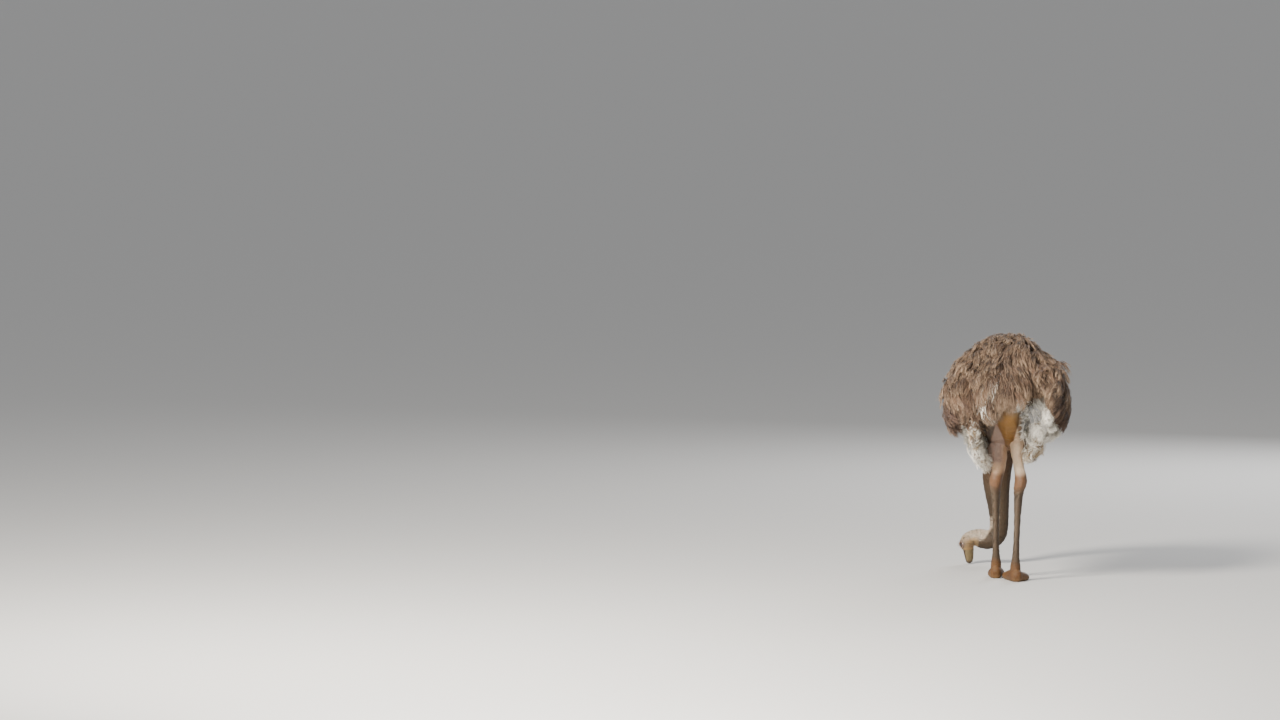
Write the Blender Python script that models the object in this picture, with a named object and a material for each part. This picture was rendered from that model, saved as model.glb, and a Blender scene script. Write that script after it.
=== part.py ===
"""A grazing hen ostrich, life size: head down, neck bent to its left, one foot a little ahead.

Metres, +Z up. The bird faces +Y, so its right side is +X. The floor is z = 0, and the origin is
the middle of the bird's outline on the floor. Plumage solids reach out to the feather tips.
"""

import math

import bmesh
import bpy
from mathutils import Matrix, Vector

BACK_HEIGHT = 1.30  # floor to the top of the plumage
TRUNK_HALF_WIDTH = 0.275  # without the wings
WING_OUT = 0.345  # middle of the bird to the outside of a wing's plumes
HOCK_HEIGHT = 0.535
JOINT_HEIGHT = 0.070  # the foot joint, above the toes
NECK_FORWARD = 0.750  # where the neck hangs, in front of the hips
BILL_LENGTH = 0.078
BILL_CLEARANCE = 0.004  # bill tip to the floor
EYE_RADIUS = 0.0205
STRIDE = 0.170  # how far the left foot stands ahead of the right one
GAP = 0.0004  # between neighbouring solids

UP = (0, 0, 1)
AHEAD = (0, 1, 0)

parts = None  # the collection of solids
cutters = None  # the collection of hidden cutters
uncut = {}  # the mesh of each solid as it was before any cut


# ---------------------------------------------------------------- scene and materials
def start():
    """Clears the scene and makes the two collections."""
    global parts, cutters
    for old in list(bpy.data.objects):
        bpy.data.objects.remove(old)
    parts = bpy.data.collections.new("ostrich")
    cutters = bpy.data.collections.new("cutters")
    for made in (parts, cutters):
        bpy.context.scene.collection.children.link(made)


def finish_of(name, colour, roughness, metallic=0.0):
    """A Principled material, made once for each name."""
    found = bpy.data.materials.get(name)
    if found:
        return found
    made = bpy.data.materials.new(name)
    made.use_nodes = True
    shader = made.node_tree.nodes["Principled BSDF"]
    shader.inputs["Base Color"].default_value = (*colour, 1)
    shader.inputs["Roughness"].default_value = roughness
    shader.inputs["Metallic"].default_value = metallic
    return made


def plume_brown():
    return finish_of("plume_brown", (0.17, 0.125, 0.095), 0.95)


def plume_white():
    return finish_of("plume_white", (0.70, 0.65, 0.57), 0.95)


def neck_down():
    return finish_of("neck_down", (0.34, 0.29, 0.24), 0.9)


def thigh_skin():
    return finish_of("thigh_skin", (0.40, 0.31, 0.26), 0.7)


def shank_scale():
    return finish_of("shank_scale", (0.27, 0.225, 0.19), 0.65)


def foot_scale():
    return finish_of("foot_scale", (0.42, 0.25, 0.14), 0.8)


def horn():
    return finish_of("horn", (0.25, 0.16, 0.08), 0.5)


def eye_gloss():
    return finish_of("eye_gloss", (0.045, 0.022, 0.012), 0.08)


# ---------------------------------------------------------------- lofts
def smooth_rows(rows, steps):
    """Rows of numbers resampled on a Catmull-Rom curve, with this many steps between two rows."""
    out = []
    for i in range(len(rows) - 1):
        a = rows[max(i - 1, 0)]
        b, c = rows[i], rows[i + 1]
        d = rows[min(i + 2, len(rows) - 1)]
        for k in range(steps):
            t = k / steps
            out.append([
                0.5 * (2 * q + (r - p) * t + (2 * p - 5 * q + 4 * r - s) * t**2
                       + (3 * q - p - 3 * r + s) * t**3)
                for p, q, r, s in zip(a, b, c, d)
            ])
    return out + [list(rows[-1])]


def frames(rows, guides):
    """For each row its centre, lateral and dorsal directions, square to the path."""
    centres = [Vector(row[:3]) for row in rows]
    out = []
    for i, centre in enumerate(centres):
        along = (centres[min(i + 1, len(rows) - 1)] - centres[max(i - 1, 0)]).normalized()
        guide = Vector(guides[i])
        dorsal = (guide - along * guide.dot(along)).normalized()
        out.append((centre, along.cross(dorsal), dorsal))
    return out


def ring_points(frame, side, over, under, around, keel=1.0, bow=0.0):
    """An egg-shaped ring: half a width to each side, and its own height over and under.

    A keel over 1 draws the lower half to a ridge. A bow moves the top and bottom sideways.
    """
    centre, lateral, dorsal = frame
    points = []
    for k in range(around):
        turn = 2 * math.pi * k / around
        rise = math.sin(turn)
        height = over * rise if rise > 0 else -under * abs(rise)**keel
        points.append(centre + lateral * (side * math.cos(turn) + bow * rise * rise)
                      + dorsal * height)
    return points


def solid_from(name, rings, material, lowest=None):
    """A closed mesh through the rings. Points under lowest are laid on that level."""
    mesh = bmesh.new()
    rows = [[mesh.verts.new(p) for p in ring] for ring in rings]
    if lowest is not None:
        for vert in mesh.verts:
            vert.co.z = max(vert.co.z, lowest)
    around = len(rows[0])
    for low, high in zip(rows, rows[1:]):
        for k in range(around):
            n = (k + 1) % around
            mesh.faces.new((low[k], low[n], high[n], high[k]))
    mesh.faces.new(rows[0][::-1])
    mesh.faces.new(rows[-1])
    bmesh.ops.recalc_face_normals(mesh, faces=mesh.faces)
    bmesh.ops.triangulate(mesh, faces=mesh.faces)
    return object_from(name, mesh, material)


def object_from(name, mesh, material):
    """A smooth-shaded object in the parts collection."""
    data = bpy.data.meshes.new(name)
    mesh.to_mesh(data)
    mesh.free()
    data.materials.append(material)
    data.shade_smooth()
    made = bpy.data.objects.new(name, data)
    parts.objects.link(made)
    uncut[name] = data.copy()
    return made


def limb(name, rows, material, guide, around=20, steps=3, lowest=None, keel=1.0, bow=0.0):
    """A loft along rows of (x, y, z, side, over, under), with its upper side towards guide."""
    fine = smooth_rows(rows, steps)
    placed = frames(fine, [guide] * len(fine))
    most = max(row[4] for row in rows)
    rings = [ring_points(f, *row[3:6], around, keel, bow * (row[4] / most)**2)
             for f, row in zip(placed, fine)]
    return solid_from(name, rings, material, lowest)


# ---------------------------------------------------------------- thin cuts
def settled(obj):
    """Applies the object's modifiers."""
    graph = bpy.context.evaluated_depsgraph_get()
    data = bpy.data.meshes.new_from_object(obj.evaluated_get(graph))
    obj.modifiers.clear()
    obj.data = data


def cut_by(obj, neighbour, gap=GAP):
    """Takes the neighbour's whole shape and a thin gap out of obj, and keeps the largest piece."""
    shape = uncut[neighbour.name].copy()
    cutter = bpy.data.objects.new(f"cut_{obj.name}_{neighbour.name}", shape)
    cutter.hide_render = True
    cutter.display_type = "WIRE"
    cutters.objects.link(cutter)
    mesh = bmesh.new()
    mesh.from_mesh(cutter.data)
    mesh.normal_update()
    for vert in mesh.verts:
        vert.co += vert.normal * gap
    mesh.to_mesh(cutter.data)
    mesh.free()
    boolean = obj.modifiers.new("cut", "BOOLEAN")
    boolean.operation = "DIFFERENCE"
    boolean.solver = "EXACT"
    boolean.object = cutter
    settled(obj)
    keep_largest(obj)


def keep_largest(obj):
    """Drops the crumbs that a cut leaves."""
    mesh = bmesh.new()
    mesh.from_mesh(obj.data)
    todo, islands = set(mesh.verts), []
    while todo:
        seed = todo.pop()
        island, edge_of = {seed}, [seed]
        while edge_of:
            for link in edge_of.pop().link_edges:
                for vert in link.verts:
                    if vert in todo:
                        todo.discard(vert)
                        island.add(vert)
                        edge_of.append(vert)
        islands.append(island)
    islands.sort(key=len)
    crumbs = [vert for island in islands[:-1] for vert in island]
    bmesh.ops.delete(mesh, geom=crumbs, context="VERTS")
    bmesh.ops.remove_doubles(mesh, verts=mesh.verts, dist=0.00002)
    mesh.to_mesh(obj.data)
    mesh.free()


# ---------------------------------------------------------------- body
def make_trunk():
    """Back, breast and belly, from the rump to the front of the breast."""
    half = TRUNK_HALF_WIDTH
    top = BACK_HEIGHT
    rows = (  # x, y, z, half width, height over and under the middle
        (0, -0.475, 1.000, 0.050, 0.045, 0.045),
        (0, -0.435, 0.995, 0.135, 0.125, 0.110),
        (0, -0.340, 0.980, 0.205, 0.228, 0.150),
        (0, -0.210, 0.965, 0.255, top - 0.989, 0.185),
        (0, -0.060, 0.955, half + 0.005, top - 0.955, 0.235),
        (0, 0.100, 0.945, half + 0.005, top - 0.957, 0.280),
        (0, 0.250, 0.930, 0.258, top - 0.996, 0.278),
        (0, 0.380, 0.920, 0.210, 0.232, 0.238),
        (0, 0.470, 0.910, 0.150, 0.158, 0.170),
        (0, 0.525, 0.905, 0.065, 0.070, 0.080),
    )
    return limb("trunk", rows, plume_brown(), UP, around=24, steps=2, keel=1.25)


def make_wing(name, hand, trunk):
    """A folded wing and its plumes, lying along the flank. hand is +1 on the right."""
    middle = WING_OUT - 0.090
    rows = (
        (middle - 0.050, -0.490, 0.880, 0.012, 0.030, 0.026),
        (middle - 0.028, -0.430, 0.900, 0.050, 0.120, 0.095),
        (middle - 0.006, -0.310, 0.915, 0.078, 0.215, 0.155),
        (middle, -0.130, 0.920, 0.090, 0.255, 0.195),
        (middle, 0.060, 0.930, 0.090, 0.255, 0.225),
        (middle - 0.012, 0.210, 0.950, 0.083, 0.220, 0.195),
        (middle - 0.040, 0.330, 0.970, 0.066, 0.155, 0.135),
        (middle - 0.066, 0.405, 0.975, 0.028, 0.060, 0.060),
    )
    rows = [(hand * row[0], *row[1:]) for row in rows]
    wing = limb(name, rows, plume_brown(), UP, around=16, steps=2, bow=-hand * 0.055)
    cut_by(wing, trunk)
    return wing


def make_tail(trunk, wings):
    """The drooping tail plumes behind the rump."""
    rows = (
        (-0.010, -0.330, 1.080, 0.120, 0.100, 0.090),
        (-0.012, -0.430, 1.060, 0.150, 0.085, 0.085),
        (-0.020, -0.515, 1.000, 0.150, 0.065, 0.065),
        (-0.034, -0.565, 0.932, 0.118, 0.045, 0.045),
        (-0.055, -0.583, 0.870, 0.060, 0.020, 0.020),
    )
    tail = limb("tail", rows, plume_brown(), (0, -1, 0.6), around=14, steps=2)
    for neighbour in (trunk, *wings):
        cut_by(tail, neighbour)
    return tail


# ---------------------------------------------------------------- neck, head and bill
FACE = (-0.72, 0.69, 0)  # the top of the hanging head


def neck_rows():
    """(x, y, z, side, over, under, and the dorsal guide) from the breast to the nape."""
    y = NECK_FORWARD
    return (
        (0.000, y - 0.350, 0.965, 0.120, 0.120, 0.120, 0, 0.5, 1),
        (0.000, y - 0.230, 0.905, 0.106, 0.106, 0.106, 0, 0.6, 1),
        (-0.006, y - 0.125, 0.805, 0.095, 0.084, 0.084, 0, 1, 1),
        (-0.024, y - 0.052, 0.680, 0.087, 0.072, 0.072, 0, 1, 0.5),
        (-0.042, y - 0.016, 0.550, 0.081, 0.064, 0.064, 0, 1, 0),
        (-0.048, y - 0.002, 0.440, 0.073, 0.058, 0.058, 0, 1, 0),
        (-0.038, y + 0.002, 0.320, 0.058, 0.051, 0.051, 0, 1, 0),
        (-0.033, y + 0.000, 0.232, 0.0505, 0.0490, 0.0490, 0, 1, 0),
        (-0.039, y - 0.002, 0.173, 0.0505, 0.0500, 0.0500, 0, 1, 0.1),
        (-0.061, y - 0.004, 0.142, 0.0510, 0.0510, 0.0510, 0, 0.95, 0.3),
        (-0.098, y - 0.006, 0.1335, 0.0515, 0.0520, 0.0520, 0, 0.85, 0.5),
        (-0.139, y - 0.006, 0.1400, 0.0490, 0.0510, 0.0500, 0, 0.70, 0.72),
    )


def head_rows():
    """The skull from behind the nape to the root of the bill, bent down by a quarter turn."""
    y = NECK_FORWARD
    root = BILL_CLEARANCE + BILL_LENGTH
    return (
        (-0.170, y - 0.005, 0.1390, 0.0440, 0.0500, 0.0400, -0.32, 0.70, 0.64),
        (-0.190, y - 0.004, 0.1260, 0.0445, 0.0505, 0.0355, -0.55, 0.70, 0.45),
        (-0.199, y - 0.003, 0.1100, 0.0445, 0.0490, 0.0320, *FACE),
        (-0.199, y - 0.002, root + 0.013, 0.0390, 0.0425, 0.0285, *FACE),
        (-0.196, y - 0.001, root, 0.0320, 0.0340, 0.0240, *FACE),
    )


def bill_rows():
    """The bill from its root to its tip: broad, flat and blunt."""
    root = Vector(head_rows()[-1][:3])
    shape = (  # share of the length, half width, height over and under the gape
        (0.25, 0.0300, 0.0275, 0.0190),
        (0.50, 0.0280, 0.0225, 0.0165),
        (0.75, 0.0250, 0.0175, 0.0130),
        (0.92, 0.0185, 0.0120, 0.0095),
        (1.00, 0.0070, 0.0045, 0.0035),
    )
    return tuple(
        (*(root + Vector((0.006, 0.008, -BILL_LENGTH)) * share), side, over, under, *FACE)
        for share, side, over, under in shape
    )


def length_of(name, placed, rows, material, around=18):
    """One length of the neck or head, drawn back from its neighbours by half a gap each."""
    rings = [ring_points(f, *row[3:6], around) for f, row in zip(placed, rows)]
    for end, inner in ((0, 1), (-1, -2)):
        step = (placed[inner][0] - placed[end][0]).normalized() * GAP / 2
        rings[end] = [point + step for point in rings[end]]
    return solid_from(name, rings, material)


def half_of(name, placed, rows, material, is_upper, around=10):
    """The part of the bill over the gape, or the part under it."""
    lift = GAP / 2 if is_upper else -GAP / 2
    rings = []
    for (centre, lateral, dorsal), (side, over, under) in zip(placed, (r[3:6] for r in rows)):
        rise = (over if is_upper else -under) - lift
        turns = [math.pi * k / around for k in range(around + 1)]
        rings.append([centre + lateral * side * math.cos(t) + dorsal * (lift + rise * math.sin(t))
                      for t in turns])
    along = (placed[1][0] - placed[0][0]).normalized()
    rings[0] = [point + along * GAP / 2 for point in rings[0]]
    return solid_from(name, rings, material)


def make_eye(name, centre):
    """An eyeball, with its poles up and down."""
    mesh = bmesh.new()
    bmesh.ops.create_uvsphere(mesh, u_segments=14, v_segments=8, radius=EYE_RADIUS)
    bmesh.ops.translate(mesh, vec=centre, verts=mesh.verts)
    return object_from(name, mesh, eye_gloss())


def make_neck_and_head(trunk):
    """Four lengths of neck, the head round its two eyes, and the two halves of the bill."""
    steps = 2
    groups = (neck_rows(), head_rows(), bill_rows())
    rows = smooth_rows(sum(groups, ()), steps)
    placed = frames(rows, [row[6:9] for row in rows])
    nape = steps * (len(groups[0]) - 1)
    root = nape + steps * len(groups[1])
    stops = (0, 6, 11, 16, nape)
    for name, low, high in zip(("base", "lower", "middle", "upper"), stops, stops[1:]):
        piece = slice(low, high + 1)
        length = length_of(f"neck_{name}", placed[piece], rows[piece], neck_down())
        if low == 0:
            cut_by(length, trunk)
    piece = slice(nape, root + 1)
    head = length_of("head", placed[piece], rows[piece], neck_down(), around=20)
    for name, is_upper in (("bill_upper", True), ("bill_lower", False)):
        half_of(name, placed[root:], rows[root:], horn(), is_upper)

    centre, face = Vector(head_rows()[2][:3]), Vector(FACE).normalized()
    to_right = face.cross(Vector(UP))
    for name, hand in (("eye_left", -1), ("eye_right", 1)):
        eye = make_eye(name, centre + face * 0.010 + to_right * hand * 0.0295)
        cut_by(head, eye)


# ---------------------------------------------------------------- legs and feet
LEGS = {  # side, foot joint and hock; the drumstick's lower half by its sets towards the middle
    # and half widths; how far the shank bows; the turns of the big and the small toe
    "left": {"hand": -1, "joint": (-0.048, STRIDE - 0.105), "hock": (-0.052, -0.100), "bulk": 1.10,
             "inward": (0.003, 0.012, 0.0145), "widths": (0.059, 0.047, 0.033), "bow": 0.0,
             "toes": (-4, 7)},
    "right": {"hand": 1, "joint": (0.053, -0.105), "hock": (0.080, -0.185), "bulk": 1.0,
              "inward": (0.010, 0.015, 0.006), "widths": (0.049, 0.030, 0.028), "bow": -0.010,
              "toes": (-17, 27)},
}


def leg_rows(leg):
    """(x, y, z, half width, front and back depth) from inside the body to the foot joint."""
    hand, bulk, inward, widths = (leg[key] for key in ("hand", "bulk", "inward", "widths"))
    (fx, fy), (hx, hy), top = leg["joint"], leg["hock"], HOCK_HEIGHT

    def shin(share):
        """A point between the hock and the foot joint."""
        bow = leg["bow"] * min(1, share / 0.12) * (1 - share)
        return (hx + (fx - hx) * share + bow, hy + (fy - hy) * share,
                top + (JOINT_HEIGHT - top) * share)

    low = 0.5 + 0.5 * widths[1] / widths[0]  # how full the calf is
    drumstick = (
        (hx + hand * 0.040, hy + 0.290, top + 0.370, 0.074 * bulk, 0.120 * bulk, 0.115 * bulk),
        (hx + hand * 0.024, hy + 0.225, top + 0.290, 0.068 * bulk, 0.110 * bulk, 0.108 * bulk),
        (hx - hand * inward[0], hy + 0.140, top + 0.190, widths[0], 0.086 * bulk, 0.085 * bulk),
        (hx - hand * inward[1], hy + 0.072, top + 0.105, widths[1], 0.064 * low, 0.062 * low),
        (hx - hand * inward[2], hy + 0.024, top + 0.045, widths[2], 0.041, 0.042),
        (hx, hy, top, 0.034, 0.042, 0.046),
    )
    shank = (
        (*shin(0.09), 0.0300, 0.0365, 0.0400),
        (*shin(0.22), 0.0230, 0.0290, 0.0300),
        (*shin(0.45), 0.0185, 0.0250, 0.0250),
        (*shin(0.70), 0.0170, 0.0240, 0.0235),
        (*shin(0.88), 0.0205, 0.0265, 0.0260),
        (*shin(0.98), 0.0275, 0.0305, 0.0305),
        (fx, fy, JOINT_HEIGHT - 0.022, 0.0280, 0.0280, 0.0280),
    )
    return drumstick, shank


def toe_rows(leg, start, turn, shape):
    """Rows for a toe along the floor, from its (distance, middle height, side, over, under)."""
    hand, foot = leg["hand"], leg["joint"]
    turn = math.radians(turn)
    along = Vector((hand * math.sin(turn), math.cos(turn), 0))
    base = Vector((foot[0] + start[0] * hand, foot[1] + start[1], 0))
    return [(*(base + along * d)[:2], z, side, over, under) for d, z, side, over, under in shape]


def make_foot(side, leg):
    """The big toe with its nail, and the small outer toe, all flat on the floor."""
    big = (
        (-0.048, 0.026, 0.012, 0.012, 0.030),
        (-0.032, 0.030, 0.029, 0.033, 0.038),
        (0.010, 0.031, 0.034, 0.038, 0.040),
        (0.060, 0.026, 0.035, 0.030, 0.035),
        (0.105, 0.021, 0.037, 0.024, 0.029),
        (0.140, 0.018, 0.030, 0.019, 0.024),
        (0.160, 0.014, 0.010, 0.008, 0.017),
    )
    nail = (
        (0.132, 0.026, 0.014, 0.013, 0.015),
        (0.158, 0.024, 0.015, 0.013, 0.018),
        (0.180, 0.016, 0.011, 0.010, 0.015),
        (0.197, 0.008, 0.006, 0.006, 0.009),
        (0.206, 0.004, 0.002, 0.002, 0.004),
    )
    small = (
        (0.000, 0.026, 0.018, 0.028, 0.034),
        (0.030, 0.025, 0.022, 0.028, 0.034),
        (0.070, 0.020, 0.022, 0.021, 0.028),
        (0.100, 0.015, 0.017, 0.015, 0.022),
        (0.112, 0.011, 0.006, 0.006, 0.014),
    )
    big_turn, small_turn = leg["toes"]
    toe = limb(f"toe_big_{side}", toe_rows(leg, (0, 0), big_turn, big), foot_scale(), UP,
               around=14, steps=2, lowest=0.0)
    claw = limb(f"claw_{side}", toe_rows(leg, (0, 0), big_turn, nail), horn(), UP,
                around=10, steps=1, lowest=0.0005)
    cut_by(claw, toe)
    outer = limb(f"toe_small_{side}", toe_rows(leg, (0.014, -0.014), small_turn, small),
                 foot_scale(), UP, around=12, steps=2, lowest=0.0)
    cut_by(outer, toe)
    return toe, outer


def make_leg(side, leg, trunk, wing):
    """Drumstick and shank, parted at the hock, and the foot."""
    drumstick, shank = leg_rows(leg)
    steps = 2
    fine = smooth_rows(drumstick + shank, steps)
    placed = frames(fine, [AHEAD] * len(fine))
    rings = [ring_points(f, *row[3:6], 14) for f, row in zip(placed, fine)]
    at_hock = steps * (len(drumstick) - 1)
    upper, lower = rings[:at_hock + 1], rings[at_hock:]
    lower[0] = [point + Vector(UP) * -GAP for point in lower[0]]
    thigh = solid_from(f"thigh_{side}", upper, thigh_skin())
    for neighbour in (trunk, wing):
        cut_by(thigh, neighbour)
    lower_leg = solid_from(f"shank_{side}", lower, shank_scale())
    for toe in make_foot(side, leg):
        cut_by(lower_leg, toe)
    return thigh


def make_flank(side, leg, low_tip, neighbours):
    """The loose white plumes that hang over the outside and back of a drumstick."""
    hand, (hx, hy) = leg["hand"], leg["hock"]
    hx -= hand * 0.012
    drop = 0.80 - low_tip
    rows = (
        (hx + hand * 0.120, hy + 0.080, 0.900, 0.090, 0.170, 0.150),
        (hx + hand * 0.118, hy + 0.075, 0.820, 0.092, 0.170, 0.160),
        (hx + hand * 0.098, hy + 0.060, low_tip + 0.66 * drop, 0.082, 0.145, 0.130),
        (hx + hand * 0.070, hy + 0.045, low_tip + 0.38 * drop, 0.056, 0.100, 0.088),
        (hx + hand * 0.050, hy + 0.028, low_tip + 0.15 * drop, 0.030, 0.052, 0.045),
        (hx + hand * 0.042, hy + 0.020, low_tip, 0.009, 0.016, 0.014),
    )
    flank = limb(f"flank_{side}", rows, plume_white(), AHEAD, around=14, steps=2)
    for neighbour in neighbours:
        cut_by(flank, neighbour)


# ---------------------------------------------------------------- the whole bird
def centre_on_floor():
    """Moves every solid so that the origin is the middle of the outline, on the floor."""
    bpy.context.view_layer.update()
    corners = [v.co for obj in parts.objects for v in obj.data.vertices]
    middle = [(min(c[i] for c in corners) + max(c[i] for c in corners)) / 2 for i in (0, 1)]
    for obj in parts.objects:
        obj.data.transform(Matrix.Translation((-middle[0], -middle[1], 0)))


def main():
    start()
    trunk = make_trunk()
    wings = {"left": make_wing("wing_left", -1, trunk), "right": make_wing("wing_right", 1, trunk)}
    make_tail(trunk, wings.values())
    make_neck_and_head(trunk)
    tips = {"left": 0.550, "right": 0.635}
    for side, leg in LEGS.items():
        thigh = make_leg(side, leg, trunk, wings[side])
        make_flank(side, leg, tips[side], (trunk, wings[side], thigh))
    centre_on_floor()


main()
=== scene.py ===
import math

import bmesh
import bpy
import numpy as np
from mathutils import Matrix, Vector, noise
from mathutils.bvhtree import BVHTree
from mathutils.geometry import barycentric_transform


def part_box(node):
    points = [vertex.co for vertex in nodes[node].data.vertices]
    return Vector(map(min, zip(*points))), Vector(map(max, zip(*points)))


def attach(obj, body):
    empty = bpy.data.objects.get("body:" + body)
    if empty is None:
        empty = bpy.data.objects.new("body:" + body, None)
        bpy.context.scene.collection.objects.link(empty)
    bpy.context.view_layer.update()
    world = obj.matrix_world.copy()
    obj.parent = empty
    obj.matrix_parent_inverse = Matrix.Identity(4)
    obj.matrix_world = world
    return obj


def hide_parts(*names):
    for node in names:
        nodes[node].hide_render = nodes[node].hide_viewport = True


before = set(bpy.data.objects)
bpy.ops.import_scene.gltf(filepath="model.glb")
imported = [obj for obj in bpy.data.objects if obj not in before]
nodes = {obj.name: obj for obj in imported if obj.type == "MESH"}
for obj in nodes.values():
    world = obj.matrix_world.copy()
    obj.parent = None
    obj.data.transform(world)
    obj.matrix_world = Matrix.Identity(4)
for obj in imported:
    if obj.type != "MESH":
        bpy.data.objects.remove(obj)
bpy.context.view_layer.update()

up = Vector((0, 0, 1))
bothSides = ("left", "right")
mergeDistance = 0.00002  # points of a CAD node nearer than this are one point


def paired(*kinds):  # the left and right node of each kind
    return [kind + "_" + side for kind in kinds for side in bothSides]


def boxMiddle(node):
    low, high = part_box(node)
    return (low + high) / 2


def ramp(value, low, high):  # smooth step from 0 at low to 1 at high, either way round
    share = np.clip((np.asarray(value, float) - low) / (high - low), 0, 1)
    return share * share * (3 - 2 * share)


def hump(value, middle, width):  # 1 at the middle, falling to 0 at the width on both sides
    return ramp(np.abs(np.asarray(value, float) - middle), width, 0)


def mergedCopy(node):  # a bmesh of a CAD node with its loose triangles joined
    work = bmesh.new()
    work.from_mesh(nodes[node].data)
    bmesh.ops.remove_doubles(work, verts=work.verts, dist=mergeDistance)
    return work


def reworked(mesh, change):  # runs a change on a mesh by way of a bmesh
    work = bmesh.new()
    work.from_mesh(mesh)
    change(work)
    work.to_mesh(mesh)
    work.free()


def egg(size, place):  # a closed lump of the given width, depth and height
    lump = bmesh.new()
    bmesh.ops.create_uvsphere(lump, u_segments=24, v_segments=16, radius=0.5)
    bmesh.ops.scale(lump, vec=size, verts=lump.verts)
    bmesh.ops.translate(lump, vec=place, verts=lump.verts)
    return lump


def joinedMesh(works, name):  # one mesh from several bmeshes, which are freed
    whole = bpy.data.meshes.new(name)
    total = bmesh.new()
    for work in works:
        part = bpy.data.meshes.new("part")
        work.to_mesh(part)
        total.from_mesh(part)
        bpy.data.meshes.remove(part)
        work.free()
    total.to_mesh(whole)
    total.free()
    return whole


def placed(name, data):
    made = bpy.data.objects.new(name, data)
    bpy.context.scene.collection.objects.link(made)
    return made


def settle(made):  # applies the modifiers of an object
    graph = bpy.context.evaluated_depsgraph_get()
    mesh = bpy.data.meshes.new_from_object(made.evaluated_get(graph))
    made.modifiers.clear()
    made.data = mesh
    return made


def remeshed(made, voxel, rounds):  # one closed surface round everything, then smoothed
    block = made.modifiers.new("voxels", "REMESH")
    block.mode = "VOXEL"
    block.voxel_size = voxel
    soften = made.modifiers.new("soften", "SMOOTH")
    soften.factor = 0.5
    soften.iterations = rounds
    return settle(made)


def readVectors(items, field, width=3):
    flat = np.empty(len(items) * width, np.float32)
    items.foreach_get(field, flat)
    return flat.reshape(-1, width).astype(float)


def coordsOf(mesh):
    return readVectors(mesh.vertices, "co")


def normalsOf(mesh):
    return readVectors(mesh.vertices, "normal")


def setCoords(mesh, coords):
    mesh.vertices.foreach_set("co", coords.astype(np.float32).ravel())
    mesh.update()


def smoothShaded(mesh):
    mesh.polygons.foreach_set("use_smooth", np.ones(len(mesh.polygons), bool))
    mesh.update()


def unit(rows):
    rows = np.asarray(rows, float)
    return rows / np.maximum(np.linalg.norm(rows, axis=-1, keepdims=True), 1e-9)


def treeOf(mesh):
    work = bmesh.new()
    work.from_mesh(mesh)
    tree = BVHTree.FromBMesh(work)
    work.free()
    return tree


def roughness(points, scale, seed, octaves=3):  # fractal noise at each point, about -1 to 1
    shift = Vector((seed * 3.1, seed * 1.7, seed * 2.3))
    return np.array([noise.fractal(Vector(p) * scale + shift, 0.8, 2.0, octaves) for p in points])


def writeTint(mesh, name, rgb):
    layer = mesh.color_attributes.new(name, "FLOAT_COLOR", "POINT")
    rgba = np.concatenate([rgb, np.ones((len(rgb), 1))], axis=1)
    layer.data.foreach_set("color", rgba.astype(np.float32).ravel())


# fixed places on the bird, all from the frame
eyeLeft, eyeRight = boxMiddle("eye_left"), boxMiddle("eye_right")
eyeRadius = (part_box("eye_left")[1].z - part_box("eye_left")[0].z) / 2
eyeMiddle = (eyeLeft + eyeRight) / 2
headLeft = (eyeLeft - eyeRight).normalized()
crownWay = headLeft.cross(up).normalized()  # from the throat to the crown of the hanging head
billBoxes = [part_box(name) for name in ("bill_upper", "bill_lower")]
billRootZ = max(high.z for _, high in billBoxes) - 0.0035  # the horn starts a little below the top
billTipZ = min(low.z for low, _ in billBoxes)
print("frame loaded:", len(nodes), "nodes, crown faces", [round(v, 2) for v in crownWay])


def headPlaces(points):  # places on the head: ahead of the eyes, towards the crown, to the left
    rel = np.asarray(points, float) - np.array(eyeMiddle)
    return -rel[:, 2], rel @ np.array(crownWay), rel @ np.array(headLeft)


# skin
# every fleshy node in one closed mesh, drawn in by the depth of the coat
skinBuild = {
    "voxel": 0.0035,
    "smoothing": 8,
    "backDepth": 0.062,      # plumage over the trunk
    "breastDepth": 0.050,
    "bareDepth": 0.003,      # belly and vent between the thighs
    "collarDepth": 0.022,    # plumage round the root of the neck
    "touching": 0.0012,      # a point this near the trunk's outline belongs to a cut end
    "cutDepth": 0.02,        # how much further the cut ends of neck and thighs go in
    "armSize": (0.44, 0.62, 0.50),      # folded arm, as shares of the wing's box
    "armPlace": (0.038, 0.05, 0.02),    # from the box's middle: to the body, ahead, up
    "rumpSize": (0.40, 0.20, 0.12),     # share of the tail's width, then depth and height
    "rumpPlace": (0.225, 0.150),        # ahead of the tail's end, under its top
    "triangles": 180000,
    "thinSteps": 10, "thinContrast": 30, "thinLeast": 0.1, "thinNeck": 0.55,
    "unwrapAngle": 1.15, "unwrapMargin": 0.002,
}
viewer = {"height": 3.215, "distance": 29.9}  # the eye point behind the bird for the outlines below
paleEdge = 0.16  # the cream plumes and the bare belly are behind this y
rearEdge = 0.12  # the hem and the plumes of the back are behind this one


def fromBehind(points):  # the height at which a place shows when the bird is seen from behind
    _, y, z = np.asarray(points, float).reshape(-1, 3).T
    return z + y * (viewer["height"] - z) / viewer["distance"]


# the bare belly and vent, seen from behind: height, left edge and right edge
bareOutline = np.array((
    (0.60, -0.105, 0.105), (0.70, -0.090, 0.092), (0.74, -0.074, 0.078), (0.80, -0.056, 0.080),
    (0.86, -0.030, 0.086), (0.91, 0.012, 0.082),
))


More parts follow.
